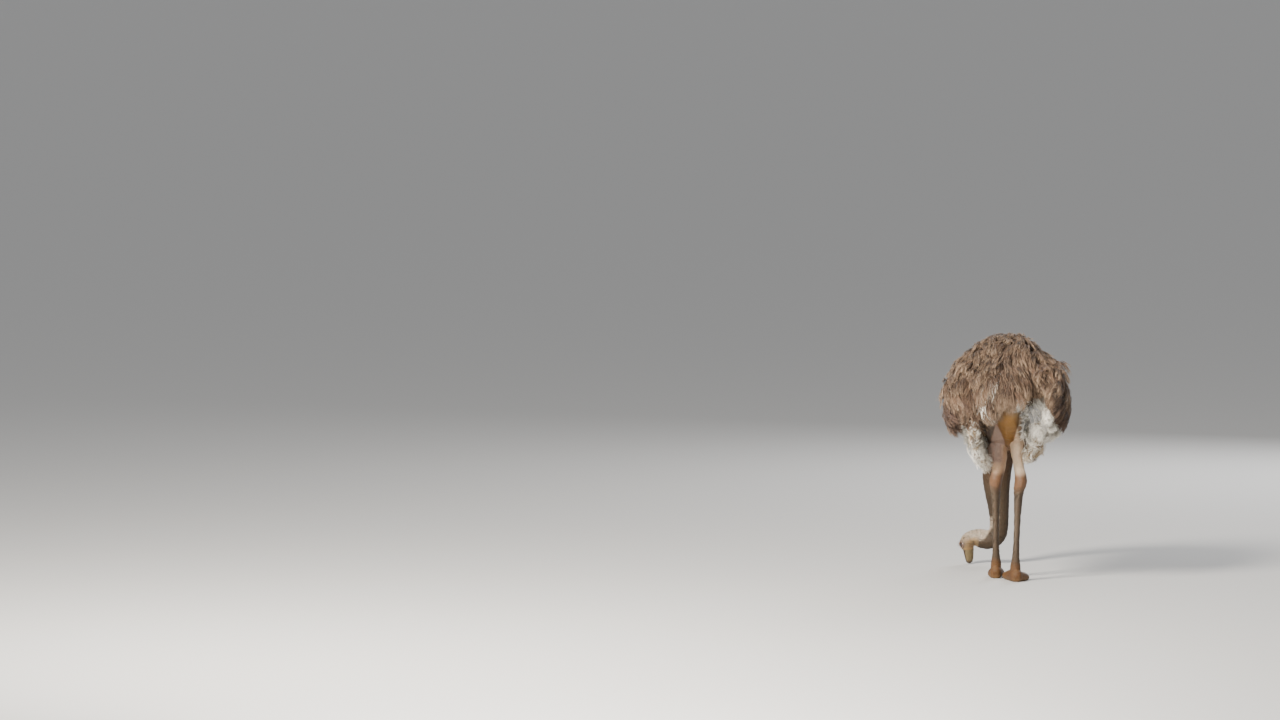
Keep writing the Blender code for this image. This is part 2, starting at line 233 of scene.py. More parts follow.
def bareShare(points, normals):  # 1 where the belly and the vent are bare
    x, y, _ = np.asarray(points, float).reshape(-1, 3).T
    seen = fromBehind(points)
    left, right = (np.interp(seen, bareOutline[:, 0], bareOutline[:, k]) for k in (1, 2))
    inside = ramp(np.minimum(x - left, right - x), -0.008, 0.014) * ramp(seen, 0.912, 0.890)
    facing = ramp(-np.asarray(normals, float).reshape(-1, 3)[:, 2], -0.45, -0.05)
    return inside * ramp(y, paleEdge, 0.02) * facing


# lines across the bird, seen from behind, as places of x and height
hemLine = np.array((  # brown plumes end here
    (-0.275, 0.600), (-0.262, 0.825), (-0.216, 0.790), (-0.170, 0.765), (-0.085, 0.775),
    (-0.055, 0.830), (-0.030, 0.875), (0.050, 0.885), (0.090, 0.905), (0.150, 0.950),
    (0.222, 0.960), (0.240, 0.815), (0.300, 0.800), (0.310, 0.600),
))
creamEnd = np.array((  # cream plumes show under the hem, down to this line
    (-0.275, 0.820), (-0.262, 0.785), (-0.239, 0.712), (-0.126, 0.570), (-0.080, 0.450),
    (-0.036, 0.450), (-0.034, 0.950), (0.062, 0.950), (0.064, 0.450), (0.230, 0.450),
    (0.236, 0.735), (0.310, 0.735),
))
creamTop = np.array((  # on the left they keep under this line as well
    (-0.130, 0.900), (-0.105, 0.760), (-0.088, 0.670), (-0.058, 0.590), (-0.030, 0.550),
))
bandTop = np.array((  # and are mottled above this one
    (-0.262, 0.824), (-0.239, 0.805), (-0.190, 0.755), (-0.126, 0.668), (-0.058, 0.560), (0.0, 0.5),
))


def lineAt(line, x):  # the height of one of these lines
    return np.interp(x, line[:, 0], line[:, 1])


def isPale(points):  # cream under the right wing, and in a band from the left wing to the hock
    x, y, _ = np.asarray(points, float).reshape(-1, 3).T
    seen = fromBehind(points)
    onLeft = (x > 0) | (seen < lineAt(creamTop, x))
    return (y < paleEdge) & (seen > lineAt(creamEnd, x)) & (seen < lineAt(hemLine, x)) & onLeft


def plumageDepth(point, normal):  # thickness of the plumage on the trunk's outline
    depth = skinBuild["backDepth"]
    if point[1] > 0.2:
        depth += (skinBuild["breastDepth"] - depth) * float(ramp(point[1], 0.2, 0.35))
    return depth + (skinBuild["bareDepth"] - depth) * float(bareShare(point, normal)[0])


def makeFlesh():
    trunk = mergedCopy("trunk")
    trunk.normal_update()
    outline = BVHTree.FromBMesh(trunk)
    works = []
    for name in ("neck_base", "thigh_left", "thigh_right"):  # their cut ends follow the trunk in
        work = mergedCopy(name)
        work.normal_update()
        for vert in work.verts:
            near, normal, _, away = outline.find_nearest(vert.co)
            if away < skinBuild["touching"]:
                vert.co = near - normal * (plumageDepth(near, normal) + skinBuild["cutDepth"])
            elif name == "neck_base":
                share = float(ramp(vert.co.z, 0.76, 0.94))
                vert.co -= vert.normal * skinBuild["collarDepth"] * share
        works.append(work)
    moved = [(v, v.co - v.normal * plumageDepth(v.co, v.normal)) for v in trunk.verts]
    for vert, place in moved:
        vert.co = place
    works.append(trunk)
    for name in ("neck_lower", "neck_middle", "neck_upper", "head", *paired("eye"),
                 "bill_upper", "bill_lower", *paired("shank", "toe_big", "toe_small", "claw")):
        works.append(mergedCopy(name))
    for name, hand in (("wing_left", -1), ("wing_right", 1)):  # the folded arm under each wing
        low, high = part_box(name)
        size = [(high[i] - low[i]) * skinBuild["armSize"][i] for i in range(3)]
        inwards, ahead, raised = skinBuild["armPlace"]
        works.append(egg(size, (low + high) / 2 + Vector((-hand * inwards, ahead, raised))))
    low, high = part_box("tail")
    wide, deep, tall = skinBuild["rumpSize"]
    ahead, under = skinBuild["rumpPlace"]
    works.append(egg(((high.x - low.x) * wide, deep, tall),
                     Vector(((low.x + high.x) / 2, low.y + ahead, high.z - under))))
    return joinedMesh(works, "flesh")


flesh = placed("skin", makeFlesh())
remeshed(flesh, skinBuild["voxel"], skinBuild["smoothing"])
print("flesh remeshed:", len(flesh.data.polygons), "faces")

fleshNodes = [name for name in nodes if not name.startswith(("wing", "tail", "flank"))]
fleshMesh, fleshLabels = bmesh.new(), []
for number, name in enumerate(fleshNodes):
    before = len(fleshMesh.faces)
    fleshMesh.from_mesh(nodes[name].data)
    fleshLabels += [number] * (len(fleshMesh.faces) - before)
fleshTree = BVHTree.FromBMesh(fleshMesh)
fleshMesh.free()


def partsAt(points):  # the number of the CAD node that each point belongs to
    return np.array([fleshLabels[fleshTree.find_nearest(p)[2]] for p in points])


def isPart(parts, *starts):
    wanted = [i for i, name in enumerate(fleshNodes) if name.startswith(starts)]
    return np.isin(parts, wanted)


def axisOf(node, way, spacing=0.012):  # the middle line of a long node, as places along one axis
    work = mergedCopy(node)
    points = np.array([tuple(v.co) for v in work.verts])
    work.free()
    bins = np.round(points[:, way] / spacing).astype(int)
    slices = [points[bins == b] for b in np.unique(bins)]
    return np.array([(part.min(0) + part.max(0)) / 2 for part in slices])


legAxes = {side: axisOf("shank_" + side, 2) for side in bothSides}
legBuild = {  # angles from the back of the leg, depths in metres
    "grooveAngle": 52, "grooveWidth": 26, "grooveDepth": 0.0026,
    "shinAngle": 128, "shinWidth": 30, "shinDepth": 0.0016,
    "creaseSpacing": 0.021, "creaseDepth": 0.0014, "ripple": 0.0011,
    "bellyFolds": 0.0019, "bellyGrain": 0.0006, "neckFolds": 0.0014,
}


def aroundLeg(points, side):  # angle from the back of the leg, in degrees
    axis = legAxes[side]
    x = np.interp(points[:, 2], axis[:, 2], axis[:, 0])
    y = np.interp(points[:, 2], axis[:, 2], axis[:, 1])
    return np.degrees(np.arctan2(points[:, 0] - x, -(points[:, 1] - y)))


def sculptLegs(mesh):  # tendons, folds and muscles on the legs, wrinkles on the belly and neck
    coords, normals = coordsOf(mesh), normalsOf(mesh)
    amount = np.zeros(len(coords))
    for side in bothSides:
        low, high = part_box("shank_" + side)
        near = np.flatnonzero((coords[:, 2] < high.z + 0.02) & (coords[:, 2] > 0.06)
                              & (coords[:, 0] > low.x - 0.02) & (coords[:, 0] < high.x + 0.02)
                              & (coords[:, 1] < high.y + 0.03))
        angle = aroundLeg(coords[near], side)
        z = coords[near, 2]
        along = ramp(z, 0.09, 0.15) * ramp(z, high.z - 0.01, high.z - 0.07)
        groove = hump(np.abs(angle), legBuild["grooveAngle"], legBuild["grooveWidth"])
        shin = hump(np.abs(angle), legBuild["shinAngle"], legBuild["shinWidth"])
        amount[near] -= along * (groove * legBuild["grooveDepth"] + shin * legBuild["shinDepth"])
        rings = np.abs(np.sin(z * 2 * math.pi / legBuild["creaseSpacing"] + angle * 0.02)) ** 3
        hock = hump(z, high.z - 0.045, 0.05) * ramp(np.abs(angle), 60, 120)
        amount[near] -= hock * rings * legBuild["creaseDepth"]
    low = np.flatnonzero((coords[:, 2] > 0.50) & (coords[:, 2] < 0.80)
                         & (np.abs(coords[:, 0]) < 0.20) & (coords[:, 1] < 0.25))
    stretched = coords[low] * np.array((1.0, 1.0, 0.35))
    amount[low] += roughness(stretched, 34, 1) * legBuild["bellyFolds"] \
        + roughness(coords[low], 110, 2, 2) * legBuild["bellyGrain"]
    legs = np.flatnonzero((coords[:, 2] < 0.50) & (coords[:, 1] < 0.25))
    amount[legs] += roughness(coords[legs], 90, 3, 2) * legBuild["ripple"] * 0.5
    neck = np.flatnonzero((coords[:, 1] > 0.38) & (coords[:, 2] < 0.90))
    squat = coords[neck] * np.array((1.0, 1.0, 2.4))
    amount[neck] += roughness(squat, 30, 4) * legBuild["neckFolds"]
    setCoords(mesh, coords + normals * amount[:, None])


sculptLegs(flesh.data)
print("legs and neck shaped")

# the head is divided finer, then lids, brow, ear, gape and throat are pushed in and out
headBuild = {
    "opening": (50, 39),       # half angles of the eye opening: along the head and across it
    "openingShift": -2,        # how far the opening sits below the eye's middle, in degrees
    "lidProud": 0.0019,
    "lidFolds": (0.0011, 0.0005),
    "eyeBelow": 0.0014,        # how far the skin lies under the eye inside the lids
    "brow": 0.0034,
    "forehead": 0.0020,        # the hollow between the brows
    "ear": (-0.034, -0.010),   # ahead of the eye, towards the crown
    "earSize": (0.0068, 0.0048),
    "earDepth": 0.0050,
    "earRim": 0.0014,
    "gape": 0.0022,
    "gapeRoll": 0.0012,
    "cheek": 0.0022,
    "throatFolds": 0.0008,
    "throatSpacing": 0.0125,
    "fineFolds": 0.0005,
    "fineSpacing": 0.0062,
    "grain": 0.0005,
    "underBill": 0.0024,
    "underClaw": 0.0020,
    "soleHeight": 0.0002,
}


def refine(mesh, chosen, rounds):  # divides the edges between chosen points and smooths them
    marks = set(np.flatnonzero(chosen).tolist())
    old = len(mesh.vertices)

    def divide(work):
        work.verts.ensure_lookup_table()
        edges = [e for e in work.edges if e.verts[0].index in marks and e.verts[1].index in marks]
        bmesh.ops.subdivide_edges(work, edges=edges, cuts=1, use_grid_fill=True)
        fresh = [v for v in work.verts if v.index >= old or v.index in marks or v.index < 0]
        for _ in range(rounds):
            bmesh.ops.smooth_vert(work, verts=fresh, factor=0.5, use_axis_x=True, use_axis_y=True,
                                  use_axis_z=True)

    reworked(mesh, divide)
    mesh.update()


def eyeFrame(side):  # centre of the eye, the way it looks, and the ways ahead and to the crown
    centre = eyeLeft if side > 0 else eyeRight
    look = (headLeft * side * 0.97 - up * 0.16 + crownWay * 0.06).normalized()
    ahead = (-up - look * (-up).dot(look)).normalized()
    crown = crownWay - look * crownWay.dot(look)
    crown = (crown - ahead * crown.dot(ahead)).normalized()
    return [np.array(v) for v in (centre, look, ahead, crown)]


def eyeOpening(points, side):  # from the eye's centre: distance, way, facing and place, 1 at the lid
    centre, look, ahead, crown = eyeFrame(side)
    rel = points - centre
    away = np.linalg.norm(rel, axis=1)
    way = rel / np.maximum(away[:, None], 1e-9)
    facing = way @ look
    along = np.degrees(np.arctan2(way @ ahead, facing))
    across = np.degrees(np.arctan2(way @ crown, facing)) - headBuild["openingShift"]
    a, b = headBuild["opening"]
    across = across * np.where(across > 0, 1.06, 1.0) * (1 + 0.10 * np.clip(along / a, -1, 1) ** 2)
    return away, way, facing, np.hypot(along / a, across / b)


def earPit(ahead, dorsal):  # 0 in the middle of the ear opening, 1 on its rim
    ear, size = headBuild["ear"], headBuild["earSize"]
    return np.hypot((ahead - ear[0]) / size[0], (dorsal - ear[1]) / size[1])


def sculptHead(mesh):  # the shares are by place: ahead of the eyes, to the crown, to the side
    coords, normals = coordsOf(mesh), normalsOf(mesh)
    zone = np.flatnonzero((coords[:, 1] > 0.55) & (coords[:, 2] < 0.23) & (coords[:, 0] < -0.09))
    points, out = coords[zone].copy(), normals[zone]
    ahead, dorsal, lateral = headPlaces(points)
    sideways = np.abs(lateral)
    amount = np.zeros(len(zone))
    skull = ramp(ahead, -0.062, -0.040) * ramp(ahead, 0.036, 0.026)
    amount += headBuild["brow"] * hump(ahead, 0.001, 0.030) * hump(dorsal, 0.0165, 0.010) \
        * ramp(sideways, 0.010, 0.022)
    amount -= headBuild["forehead"] * hump(ahead, 0.020, 0.020) * hump(dorsal, 0.030, 0.020) \
        * hump(lateral, 0, 0.012)
    pit = earPit(ahead, dorsal)
    facing = ramp(np.abs(out @ np.array(headLeft)), 0.3, 0.6)
    amount += facing * (-headBuild["earDepth"] * ramp(pit, 1.0, 0.25)
                        + headBuild["earRim"] * hump(pit, 1.35, 0.5))
    gapeLine = dorsal + 0.0105 + 0.10 * (0.034 - ahead)  # runs back under the eye from the bill
    amount -= headBuild["gape"] * facing * hump(gapeLine, 0, 0.0030) * ramp(ahead, -0.002, 0.010)
    amount += headBuild["gapeRoll"] * facing * hump(gapeLine, -0.0055, 0.0035) * ramp(ahead, 0.0, 0.014)
    cheek = hump(ahead, -0.012, 0.022) * hump(dorsal, -0.018, 0.014)
    amount += headBuild["cheek"] * cheek * facing
    throat = ramp(dorsal, -0.008, -0.022) * ramp(dorsal, -0.062, -0.040) * skull
    wander = roughness(points, 45, 8, 2)
    folds = (ahead + dorsal * 0.3 + wander * 0.004) * 2 * math.pi / headBuild["throatSpacing"]
    amount -= headBuild["throatFolds"] * throat * np.abs(np.sin(folds))
    fine = (ahead + 0.004 * np.sin(dorsal * 300)) * 2 * math.pi / headBuild["fineSpacing"]
    amount -= headBuild["fineFolds"] * np.abs(np.sin(fine)) * hump(dorsal, -0.014, 0.010) \
        * facing * skull
    amount += roughness(points, 130, 6, 3) * headBuild["grain"]
    points += out * amount[:, None]
    for side in (1, -1):
        away, way, face, spot = eyeOpening(points, side)
        radius = eyeRadius + headBuild["lidProud"] * ramp(spot, 2.1, 1.22)
        first, second = headBuild["lidFolds"]
        fold = first * hump(spot, 1.52, 0.16) + second * hump(spot, 1.86, 0.12)
        lid = np.maximum(away, radius) - fold * ramp(spot, 2.2, 1.5)
        inner = np.minimum(away, eyeRadius - headBuild["eyeBelow"])
        wanted = inner + (lid - inner) * ramp(spot, 0.95, 1.035)
        here = (face > 0.05) & (away < eyeRadius + 0.016) & (spot < 2.3)
        share = (ramp(spot, 2.3, 1.9) * here)[:, None]
        points += way * (wanted - away)[:, None] * share
    coords[zone] = points
    setCoords(mesh, coords)


def drawUnderHorn(mesh):  # the skin goes in under the bill and the claws
    coords, normals = coordsOf(mesh), normalsOf(mesh)
    low = np.flatnonzero(coords[:, 2] < 0.10)
    parts = partsAt(coords[low])
    bill = low[isPart(parts, "bill")]
    claws = low[isPart(parts, "claw")]
    amount = np.zeros(len(coords))
    amount[bill] = headBuild["underBill"] * ramp(coords[bill, 2], billRootZ, billRootZ - 0.006)
    amount[claws] = headBuild["underClaw"]
    setCoords(mesh, coords - normals * amount[:, None])
    soles = coordsOf(mesh)
    soles[:, 2] = np.maximum(soles[:, 2], headBuild["soleHeight"])
    setCoords(mesh, soles)


def divideHead(mesh):  # finer faces on the head, and finer still round the eyes
    x, y, z = coordsOf(mesh).T
    refine(mesh, (y > 0.565) & (z < 0.205) & (z > 0.07) & (x < -0.115), 3)
    coords = coordsOf(mesh)
    away = [np.linalg.norm(coords - np.array(eye), axis=1) for eye in (eyeLeft, eyeRight)]
    refine(mesh, (np.minimum(*away) < eyeRadius + 0.011) & (headPlaces(coords)[0] < 0.034), 2)


divideHead(flesh.data)
sculptHead(flesh.data)
drawUnderHorn(flesh.data)
print("head shaped:", len(flesh.data.polygons), "faces")


def thinned(made):  # thins the hidden trunk first, then the neck, and leaves the head and feet
    mesh = made.data
    coords = coordsOf(mesh)
    hidden = ramp(coords[:, 2], 0.80, 0.86) * ramp(coords[:, 1], 0.42, 0.36)
    hidden = np.maximum(hidden, ramp(np.abs(coords[:, 0]), 0.13, 0.17) * (coords[:, 2] > 0.6))
    neck = skinBuild["thinNeck"] * (coords[:, 1] > 0.36) * ramp(coords[:, 2], 0.20, 0.26)
    weight = np.maximum(np.maximum(hidden, neck), skinBuild["thinLeast"])
    group = made.vertex_groups.new(name="thin")
    steps = skinBuild["thinSteps"]
    for level in range(1, steps + 1):
        chosen = np.flatnonzero(np.round(weight * steps) == level)
        group.add(chosen.tolist(), level / steps, "REPLACE")
    thin = made.modifiers.new("thin", "DECIMATE")
    mesh.calc_loop_triangles()
    thin.ratio = skinBuild["triangles"] / len(mesh.loop_triangles)
    thin.vertex_group = "thin"
    thin.vertex_group_factor = skinBuild["thinContrast"]
    settle(made)
    made.vertex_groups.clear()


thinned(flesh)
reworked(flesh.data, lambda work: bmesh.ops.triangulate(work, faces=work.faces))
smoothShaded(flesh.data)
print("skin thinned:", len(flesh.data.polygons), "triangles")


def unwrapped(made):  # the skin's own unwrap, which the coat's patches are placed on
    made.data.uv_layers.new(name="OFBake")
    bpy.context.view_layer.objects.active = made
    made.select_set(True)
    bpy.ops.object.mode_set(mode="EDIT")
    bpy.ops.mesh.select_all(action="SELECT")
    bpy.ops.uv.smart_project(angle_limit=skinBuild["unwrapAngle"],
                             island_margin=skinBuild["unwrapMargin"], scale_to_bounds=True)
    bpy.ops.object.mode_set(mode="OBJECT")
    made.select_set(False)


unwrapped(flesh)
skinCoords, skinNormals = coordsOf(flesh.data), normalsOf(flesh.data)
skinCorners = readVectors(flesh.data.loops, "vertex_index", 1).astype(int).reshape(-1, 3)
skinPatches = readVectors(flesh.data.uv_layers["OFBake"].data, "uv", 2).reshape(-1, 3, 2)
skinTree = treeOf(flesh.data)
skinParts = partsAt(skinCoords)
print("skin unwrapped")


# markings, with painted light and shade among them, the same for the skin and for what grows on it
markings = {
    "underCoat": (0.115, 0.085, 0.066),
    "paleUnder": (0.66, 0.60, 0.50),
    "belly": (0.205, 0.099, 0.019),
    "bellyCreaseShade": (0.130, 0.058, 0.013),
    "ventTan": (0.210, 0.150, 0.090),
    # painted shade and light: the thighs are one skin, the left painted darker as shaded and the right
    # lighter as lit
    "thighLeftShaded": (0.270, 0.190, 0.152),
    "thighEdgeLit": (0.440, 0.295, 0.180),
    "thighRightLit": (0.560, 0.420, 0.290),
    "hock": (0.125, 0.062, 0.029),
    "shank": (0.066, 0.044, 0.025),
    "shankHighlight": (0.140, 0.103, 0.070),
    "foot": (0.105, 0.047, 0.013),
    "footDust": (0.220, 0.130, 0.055),
    "neckHighDustAndShade": (0.050, 0.023, 0.008),
    "neckLow": (0.042, 0.026, 0.013),
    "neckTopPaintedLight": (0.380, 0.310, 0.235),
    "head": (0.250, 0.165, 0.078),
    "face": (0.310, 0.195, 0.075),
    "crown": (0.140, 0.092, 0.052),
    "eyeRingAndEarShade": (0.115, 0.085, 0.068),
    "lidPink": (0.42, 0.26, 0.20),
    "billShadedHorn": (0.050, 0.030, 0.017),
    "billLitHorn": (0.150, 0.112, 0.056),
    "billRoot": (0.200, 0.148, 0.078),
    "billTip": (0.060, 0.040, 0.027),
    "nostril": (0.050, 0.036, 0.030),
    "claw": (0.200, 0.135, 0.085),
    "clawTip": (0.400, 0.290, 0.180),
}
mark = {name: np.array(colour) for name, colour in markings.items()}


# where the thighs meet the bare belly, seen from behind: height, left edge and right edge
thighRoots = np.array((
    (0.66, 0.004, 0.032), (0.72, -0.006, 0.040), (0.76, -0.022, 0.050), (0.80, -0.042, 0.062),
    (0.86, -0.060, 0.078),
))


def over(below, above, share):  # lays one colour over others, by a share for each place
    return below + (above - below) * np.asarray(share)[:, None]


def skinPaint(points, normals, parts):  # base colour of every place on the skin
    points, normals = np.asarray(points, float), np.asarray(normals, float)
    x, _, z = points.T
    paint = np.tile(mark["underCoat"], (len(points), 1))

    def lay(name, share):
        nonlocal paint
        paint = over(paint, mark[name], share)

    trunk = isPart(parts, "trunk")
    bare = ramp(bareShare(points, normals), 0.15, 0.6)
    seen = fromBehind(points)
    lay("paleUnder", trunk * isPale(points))
    lay("belly", bare * trunk)
    lay("ventTan", bare * trunk * ramp(seen + 0.25 * x, 0.865, 0.890))
    left, right = (np.interp(seen, thighRoots[:, 0], thighRoots[:, k]) for k in (1, 2))
    # painted shade: the bare belly is darker in the creases beside the thigh roots
    crease = ramp(np.minimum(x - left, right - x), 0.020, 0.002)
    lay("bellyCreaseShade", trunk * bare * crease * ramp(seen, 0.86, 0.78) * 0.8)
    # the thighs' painted shade and light reach onto the bare belly beside them
    lay("thighRightLit", trunk * bare * ramp(x - right, -0.003, 0.006))
    lay("thighLeftShaded", trunk * bare * ramp(x - left, 0.003, -0.006))
    # each thigh takes its painted-shade or painted-light colour
    for side, ground in (("left", "thighLeftShaded"), ("right", "thighRightLit")):
        thigh = isPart(parts, "thigh_" + side) * 1.0
        lay(ground, thigh)
        if side == "left":
            # painted light: the left thigh lighter towards its inner edge and its bottom
            rim = np.maximum(ramp(x, -0.030, 0.0), ramp(z, 0.640, 0.600))
            lay("thighEdgeLit", thigh * rim * 0.85)
        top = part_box("shank_" + side)[1].z
        lay("hock", thigh * ramp(z, top + 0.055, top + 0.008))
        shank = isPart(parts, "shank_" + side) * 1.0
        lay("shank", shank)
        lay("hock", shank * ramp(z, top - 0.085, top - 0.020))
        # painted highlight: a lighter streak down each shank, a little to the left of its back
        highlightStripe = hump(aroundLeg(points, side), -16, 26)
        lay("shankHighlight", shank * highlightStripe * ramp(z, 0.11, 0.2) * ramp(z, top - 0.03, top - 0.10) * 0.55)
    foot = isPart(parts, "toe", "claw") * 1.0
    shin = isPart(parts, "shank") * ramp(z, 0.125, 0.072)
    lay("foot", np.maximum(foot, shin))
    lay("footDust", foot * ramp(z, 0.030, 0.004) * 0.45)
    lay("footDust", np.maximum(foot, shin) * ramp(normals[:, 2], 0.5, 0.95) * 0.40)
    # the upper neck's dark reddish colour is partly dust and partly painted shade
    neck = isPart(parts, "neck") * 1.0
    lay("neckHighDustAndShade", neck)
    lay("neckLow", neck * ramp(z, 0.62, 0.34))
    head = isPart(parts, "head", "eye", "bill") * 1.0
    ahead, dorsal, lateral = headPlaces(points)
    lay("head", head * ramp(x, -0.125, -0.160))
    lay("neckLow", head * ramp(x, -0.160, -0.125))
    # painted light: the nape and the top of the head are lighter where they face up
    upFacingLight = ramp(x - 0.69 * z, -0.200, -0.222) * ramp(normals[:, 2], -0.30, 0.25)
    lay("neckTopPaintedLight", np.maximum(neck, head) * (z < 0.26) * upFacingLight
        * (1 - head * ramp(ahead, -0.050, -0.022) * 0.6))
    # painted shade: the head's downward-facing underside takes the darker neck colour
    throat = head * ramp(ahead, 0.012, -0.012) * ramp(normals[:, 2], -0.15, -0.60)
    lay("neckLow", throat * 0.75)
    lay("crown", head * ramp(dorsal, 0.014, 0.026) * ramp(ahead, -0.055, -0.03))
    lay("face", head * ramp(ahead, 0.012, 0.026) * ramp(dorsal, 0.030, 0.012) * 0.8)
    for side in (1, -1):
        away, _, face, spot = eyeOpening(points, side)
        near = head * (face > 0) * (away < eyeRadius + 0.02)
        lay("eyeRingAndEarShade", near * ramp(spot, 2.8, 1.25) * 0.85)
        lay("lidPink", near * hump(spot, 1.06, 0.10) * 0.45)
    # painted shade: the ear opening takes the dark eye-ring colour
    lay("eyeRingAndEarShade", head * ramp(earPit(ahead, dorsal), 0.95, 0.45) * (np.abs(lateral) > 0.015))
    return paint


def paintSkin(mesh):  # its colours, and where it is scaly, bumpy or lined
    writeTint(mesh, "tint", skinPaint(skinCoords, skinNormals, skinParts))
    shins = isPart(skinParts, "shank") * ramp(skinCoords[:, 2], 0.50, 0.42)
    grain = (np.maximum(isPart(skinParts, "toe", "claw") * 1.0, shins),
             isPart(skinParts, "thigh", "trunk") * 1.0, isPart(skinParts, "neck", "head") * 1.0)
    writeTint(mesh, "grain", np.stack(grain, axis=1))


paintSkin(flesh.data)


class Graph:  # a short way to add shader nodes to a new material
    def __init__(self, name):
        self.material = bpy.data.materials.new(name)
        self.material.use_nodes = True
        self.tree = self.material.node_tree
        self.shader = self.tree.nodes["Principled BSDF"]
        self.count = 0

    def add(self, kind, **fields):
        node = self.tree.nodes.new("ShaderNode" + kind)
        node.location = (-220 * (1 + self.count % 6), 160 * (self.count // 6))
        self.count += 1
        for name, value in fields.items():
            setattr(node, name, value)
        return node

    def link(self, source, target):
        self.tree.links.new(source, target)

    def tint(self, layer):
        return self.add("VertexColor", layer_name=layer).outputs["Color"]

    def places(self, scale=(1, 1, 1)):
        spots = self.add("TexCoord")
        mapping = self.add("Mapping")
        mapping.inputs["Scale"].default_value = scale
        self.link(spots.outputs["Object"], mapping.inputs["Vector"])
        return mapping.outputs["Vector"]

    def noise(self, scale, detail, rough, places=None):
        made = self.add("TexNoise")
        made.inputs["Scale"].default_value = scale
        made.inputs["Detail"].default_value = detail
        made.inputs["Roughness"].default_value = rough
        self.link(places or self.places(), made.inputs["Vector"])
        return made.outputs["Fac"]

    def cells(self, scale, feature, places):
        made = self.add("TexVoronoi", feature=feature)
        made.inputs["Scale"].default_value = scale
        self.link(places, made.inputs["Vector"])
        return made.outputs["Distance"]

    def spread(self, value, low, high, toLow=0.0, toHigh=1.0):
        made = self.add("MapRange", interpolation_type="SMOOTHSTEP")
        limits = {"From Min": low, "From Max": high, "To Min": toLow, "To Max": toHigh}
        for name, number in limits.items():
            made.inputs[name].default_value = number
        self.link(value, made.inputs["Value"])
        return made.outputs["Result"]

    def feed(self, value, socket):  # a number, a colour or another node's output
        if isinstance(value, (int, float)):
            socket.default_value = value
        elif isinstance(value, tuple):
            socket.default_value = (*value, 1)
        else:
            self.link(value, socket)

    def combined(self, operation, first, second):
        made = self.add("Math", operation=operation)
        self.feed(first, made.inputs[0])
        self.feed(second, made.inputs[1])
        return made.outputs["Value"]

    def times(self, first, second):
        return self.combined("MULTIPLY", first, second)

    def plus(self, first, second):
        return self.combined("ADD", first, second)

    def mixed(self, first, second, share, blend="MIX"):
        made = self.add("Mix", data_type="RGBA", blend_type=blend)
        for number, value in ((6, first), (7, second), (0, share)):
            self.feed(value, made.inputs[number])
        return made.outputs[2]

    def split(self, colour):
        made = self.add("SeparateColor")
        self.link(colour, made.inputs["Color"])
        return made.outputs["Red"], made.outputs["Green"], made.outputs["Blue"]

    def worn(self, colour, stain, where, most, blend="MULTIPLY"):  # where: a pattern and its limits
        return self.mixed(colour, stain, self.spread(*where, 0.0, most), blend)

    def bump(self, height, strength, distance):
        made = self.add("Bump")
        made.inputs["Strength"].default_value = strength
        made.inputs["Distance"].default_value = distance
        self.link(height, made.inputs["Height"])
        self.link(made.outputs["Normal"], self.shader.inputs["Normal"])

    def finish(self, colour, roughness, constants):
        self.feed(colour, self.shader.inputs["Base Color"])
        self.feed(roughness, self.shader.inputs["Roughness"])
        for name, value in constants.items():
            self.shader.inputs[name].default_value = value
        return self.material


skinSurface = {  # pattern scales: cells or waves in a metre, roughly
    "patches": 9, "mottle": 46, "fine": 320, "scales": 225, "bumps": 105, "folds": 210,
    "relief": 0.62, "reliefDepth": 0.0011,
    "shader": {"Subsurface Weight": 0.06, "Subsurface Scale": 0.004, "Specular IOR Level": 0.35},
}


def makeSkinFinish():  # scales on the legs, feather bumps on the thighs, fine lines on the neck
    g, look = Graph("birdSkin"), skinSurface
    scaly, bumpy, lined = g.split(g.tint("grain"))
    spots = g.places()
    patch = g.noise(look["patches"], 5, 0.6, spots)
    mottle = g.noise(look["mottle"], 4, 0.6, spots)
    fine = g.noise(look["fine"], 3, 0.6, spots)
    colour = g.worn(g.tint("tint"), (0.42, 0.36, 0.33), (patch, 0.42, 0.75), 0.62)
    colour = g.worn(colour, (1.0, 0.86, 0.70), (mottle, 0.50, 0.78), 0.30, "SOFT_LIGHT")
    scales = g.cells(look["scales"], "DISTANCE_TO_EDGE", spots)
    seams = g.times(g.spread(scales, 0.16, 0.02), scaly)
    colour = g.mixed(colour, (0.42, 0.33, 0.27), g.times(seams, 0.55), "MULTIPLY")
    follicles = g.cells(look["bumps"], "F1", g.places((1, 1, 0.8)))
    dots = g.times(g.spread(follicles, 0.34, 0.08), bumpy)
    colour = g.mixed(colour, (0.60, 0.48, 0.42), g.times(dots, 0.45), "MULTIPLY")
    folds = g.noise(look["folds"], 3, 0.5, g.places((1, 1, 2.6)))
    height = g.plus(g.times(g.spread(scales, 0.0, 0.28), scaly), g.times(dots, 0.55))
    height = g.plus(height, g.times(folds, g.times(lined, 0.55)))
    height = g.plus(height, g.times(fine, 0.16))
    g.bump(height, look["relief"], look["reliefDepth"])
    return g.finish(colour, g.spread(fine, 0.3, 0.7, 0.48, 0.74), look["shader"])


flesh.data.materials.clear()
flesh.data.materials.append(makeSkinFinish())
print("skin painted")


# pieces that repeat one small shape many times are made from arrays
patchSize = 0.003  # the width of one strand or plume on the unwrap


def meshFromArrays(name, coords, faces, sizes):
    mesh = bpy.data.meshes.new(name)
    mesh.vertices.add(len(coords))
    mesh.vertices.foreach_set("co", np.asarray(coords, np.float32).ravel())
    mesh.loops.add(len(faces))
    mesh.loops.foreach_set("vertex_index", np.asarray(faces, np.int32))
    mesh.polygons.add(len(sizes))
    starts = np.concatenate(([0], np.cumsum(sizes)[:-1])).astype(np.int32)
    mesh.polygons.foreach_set("loop_start", starts)
    mesh.polygons.foreach_set("use_smooth", np.ones(len(sizes), bool))
    mesh.update(calc_edges=True)
    mesh.validate()
    return mesh


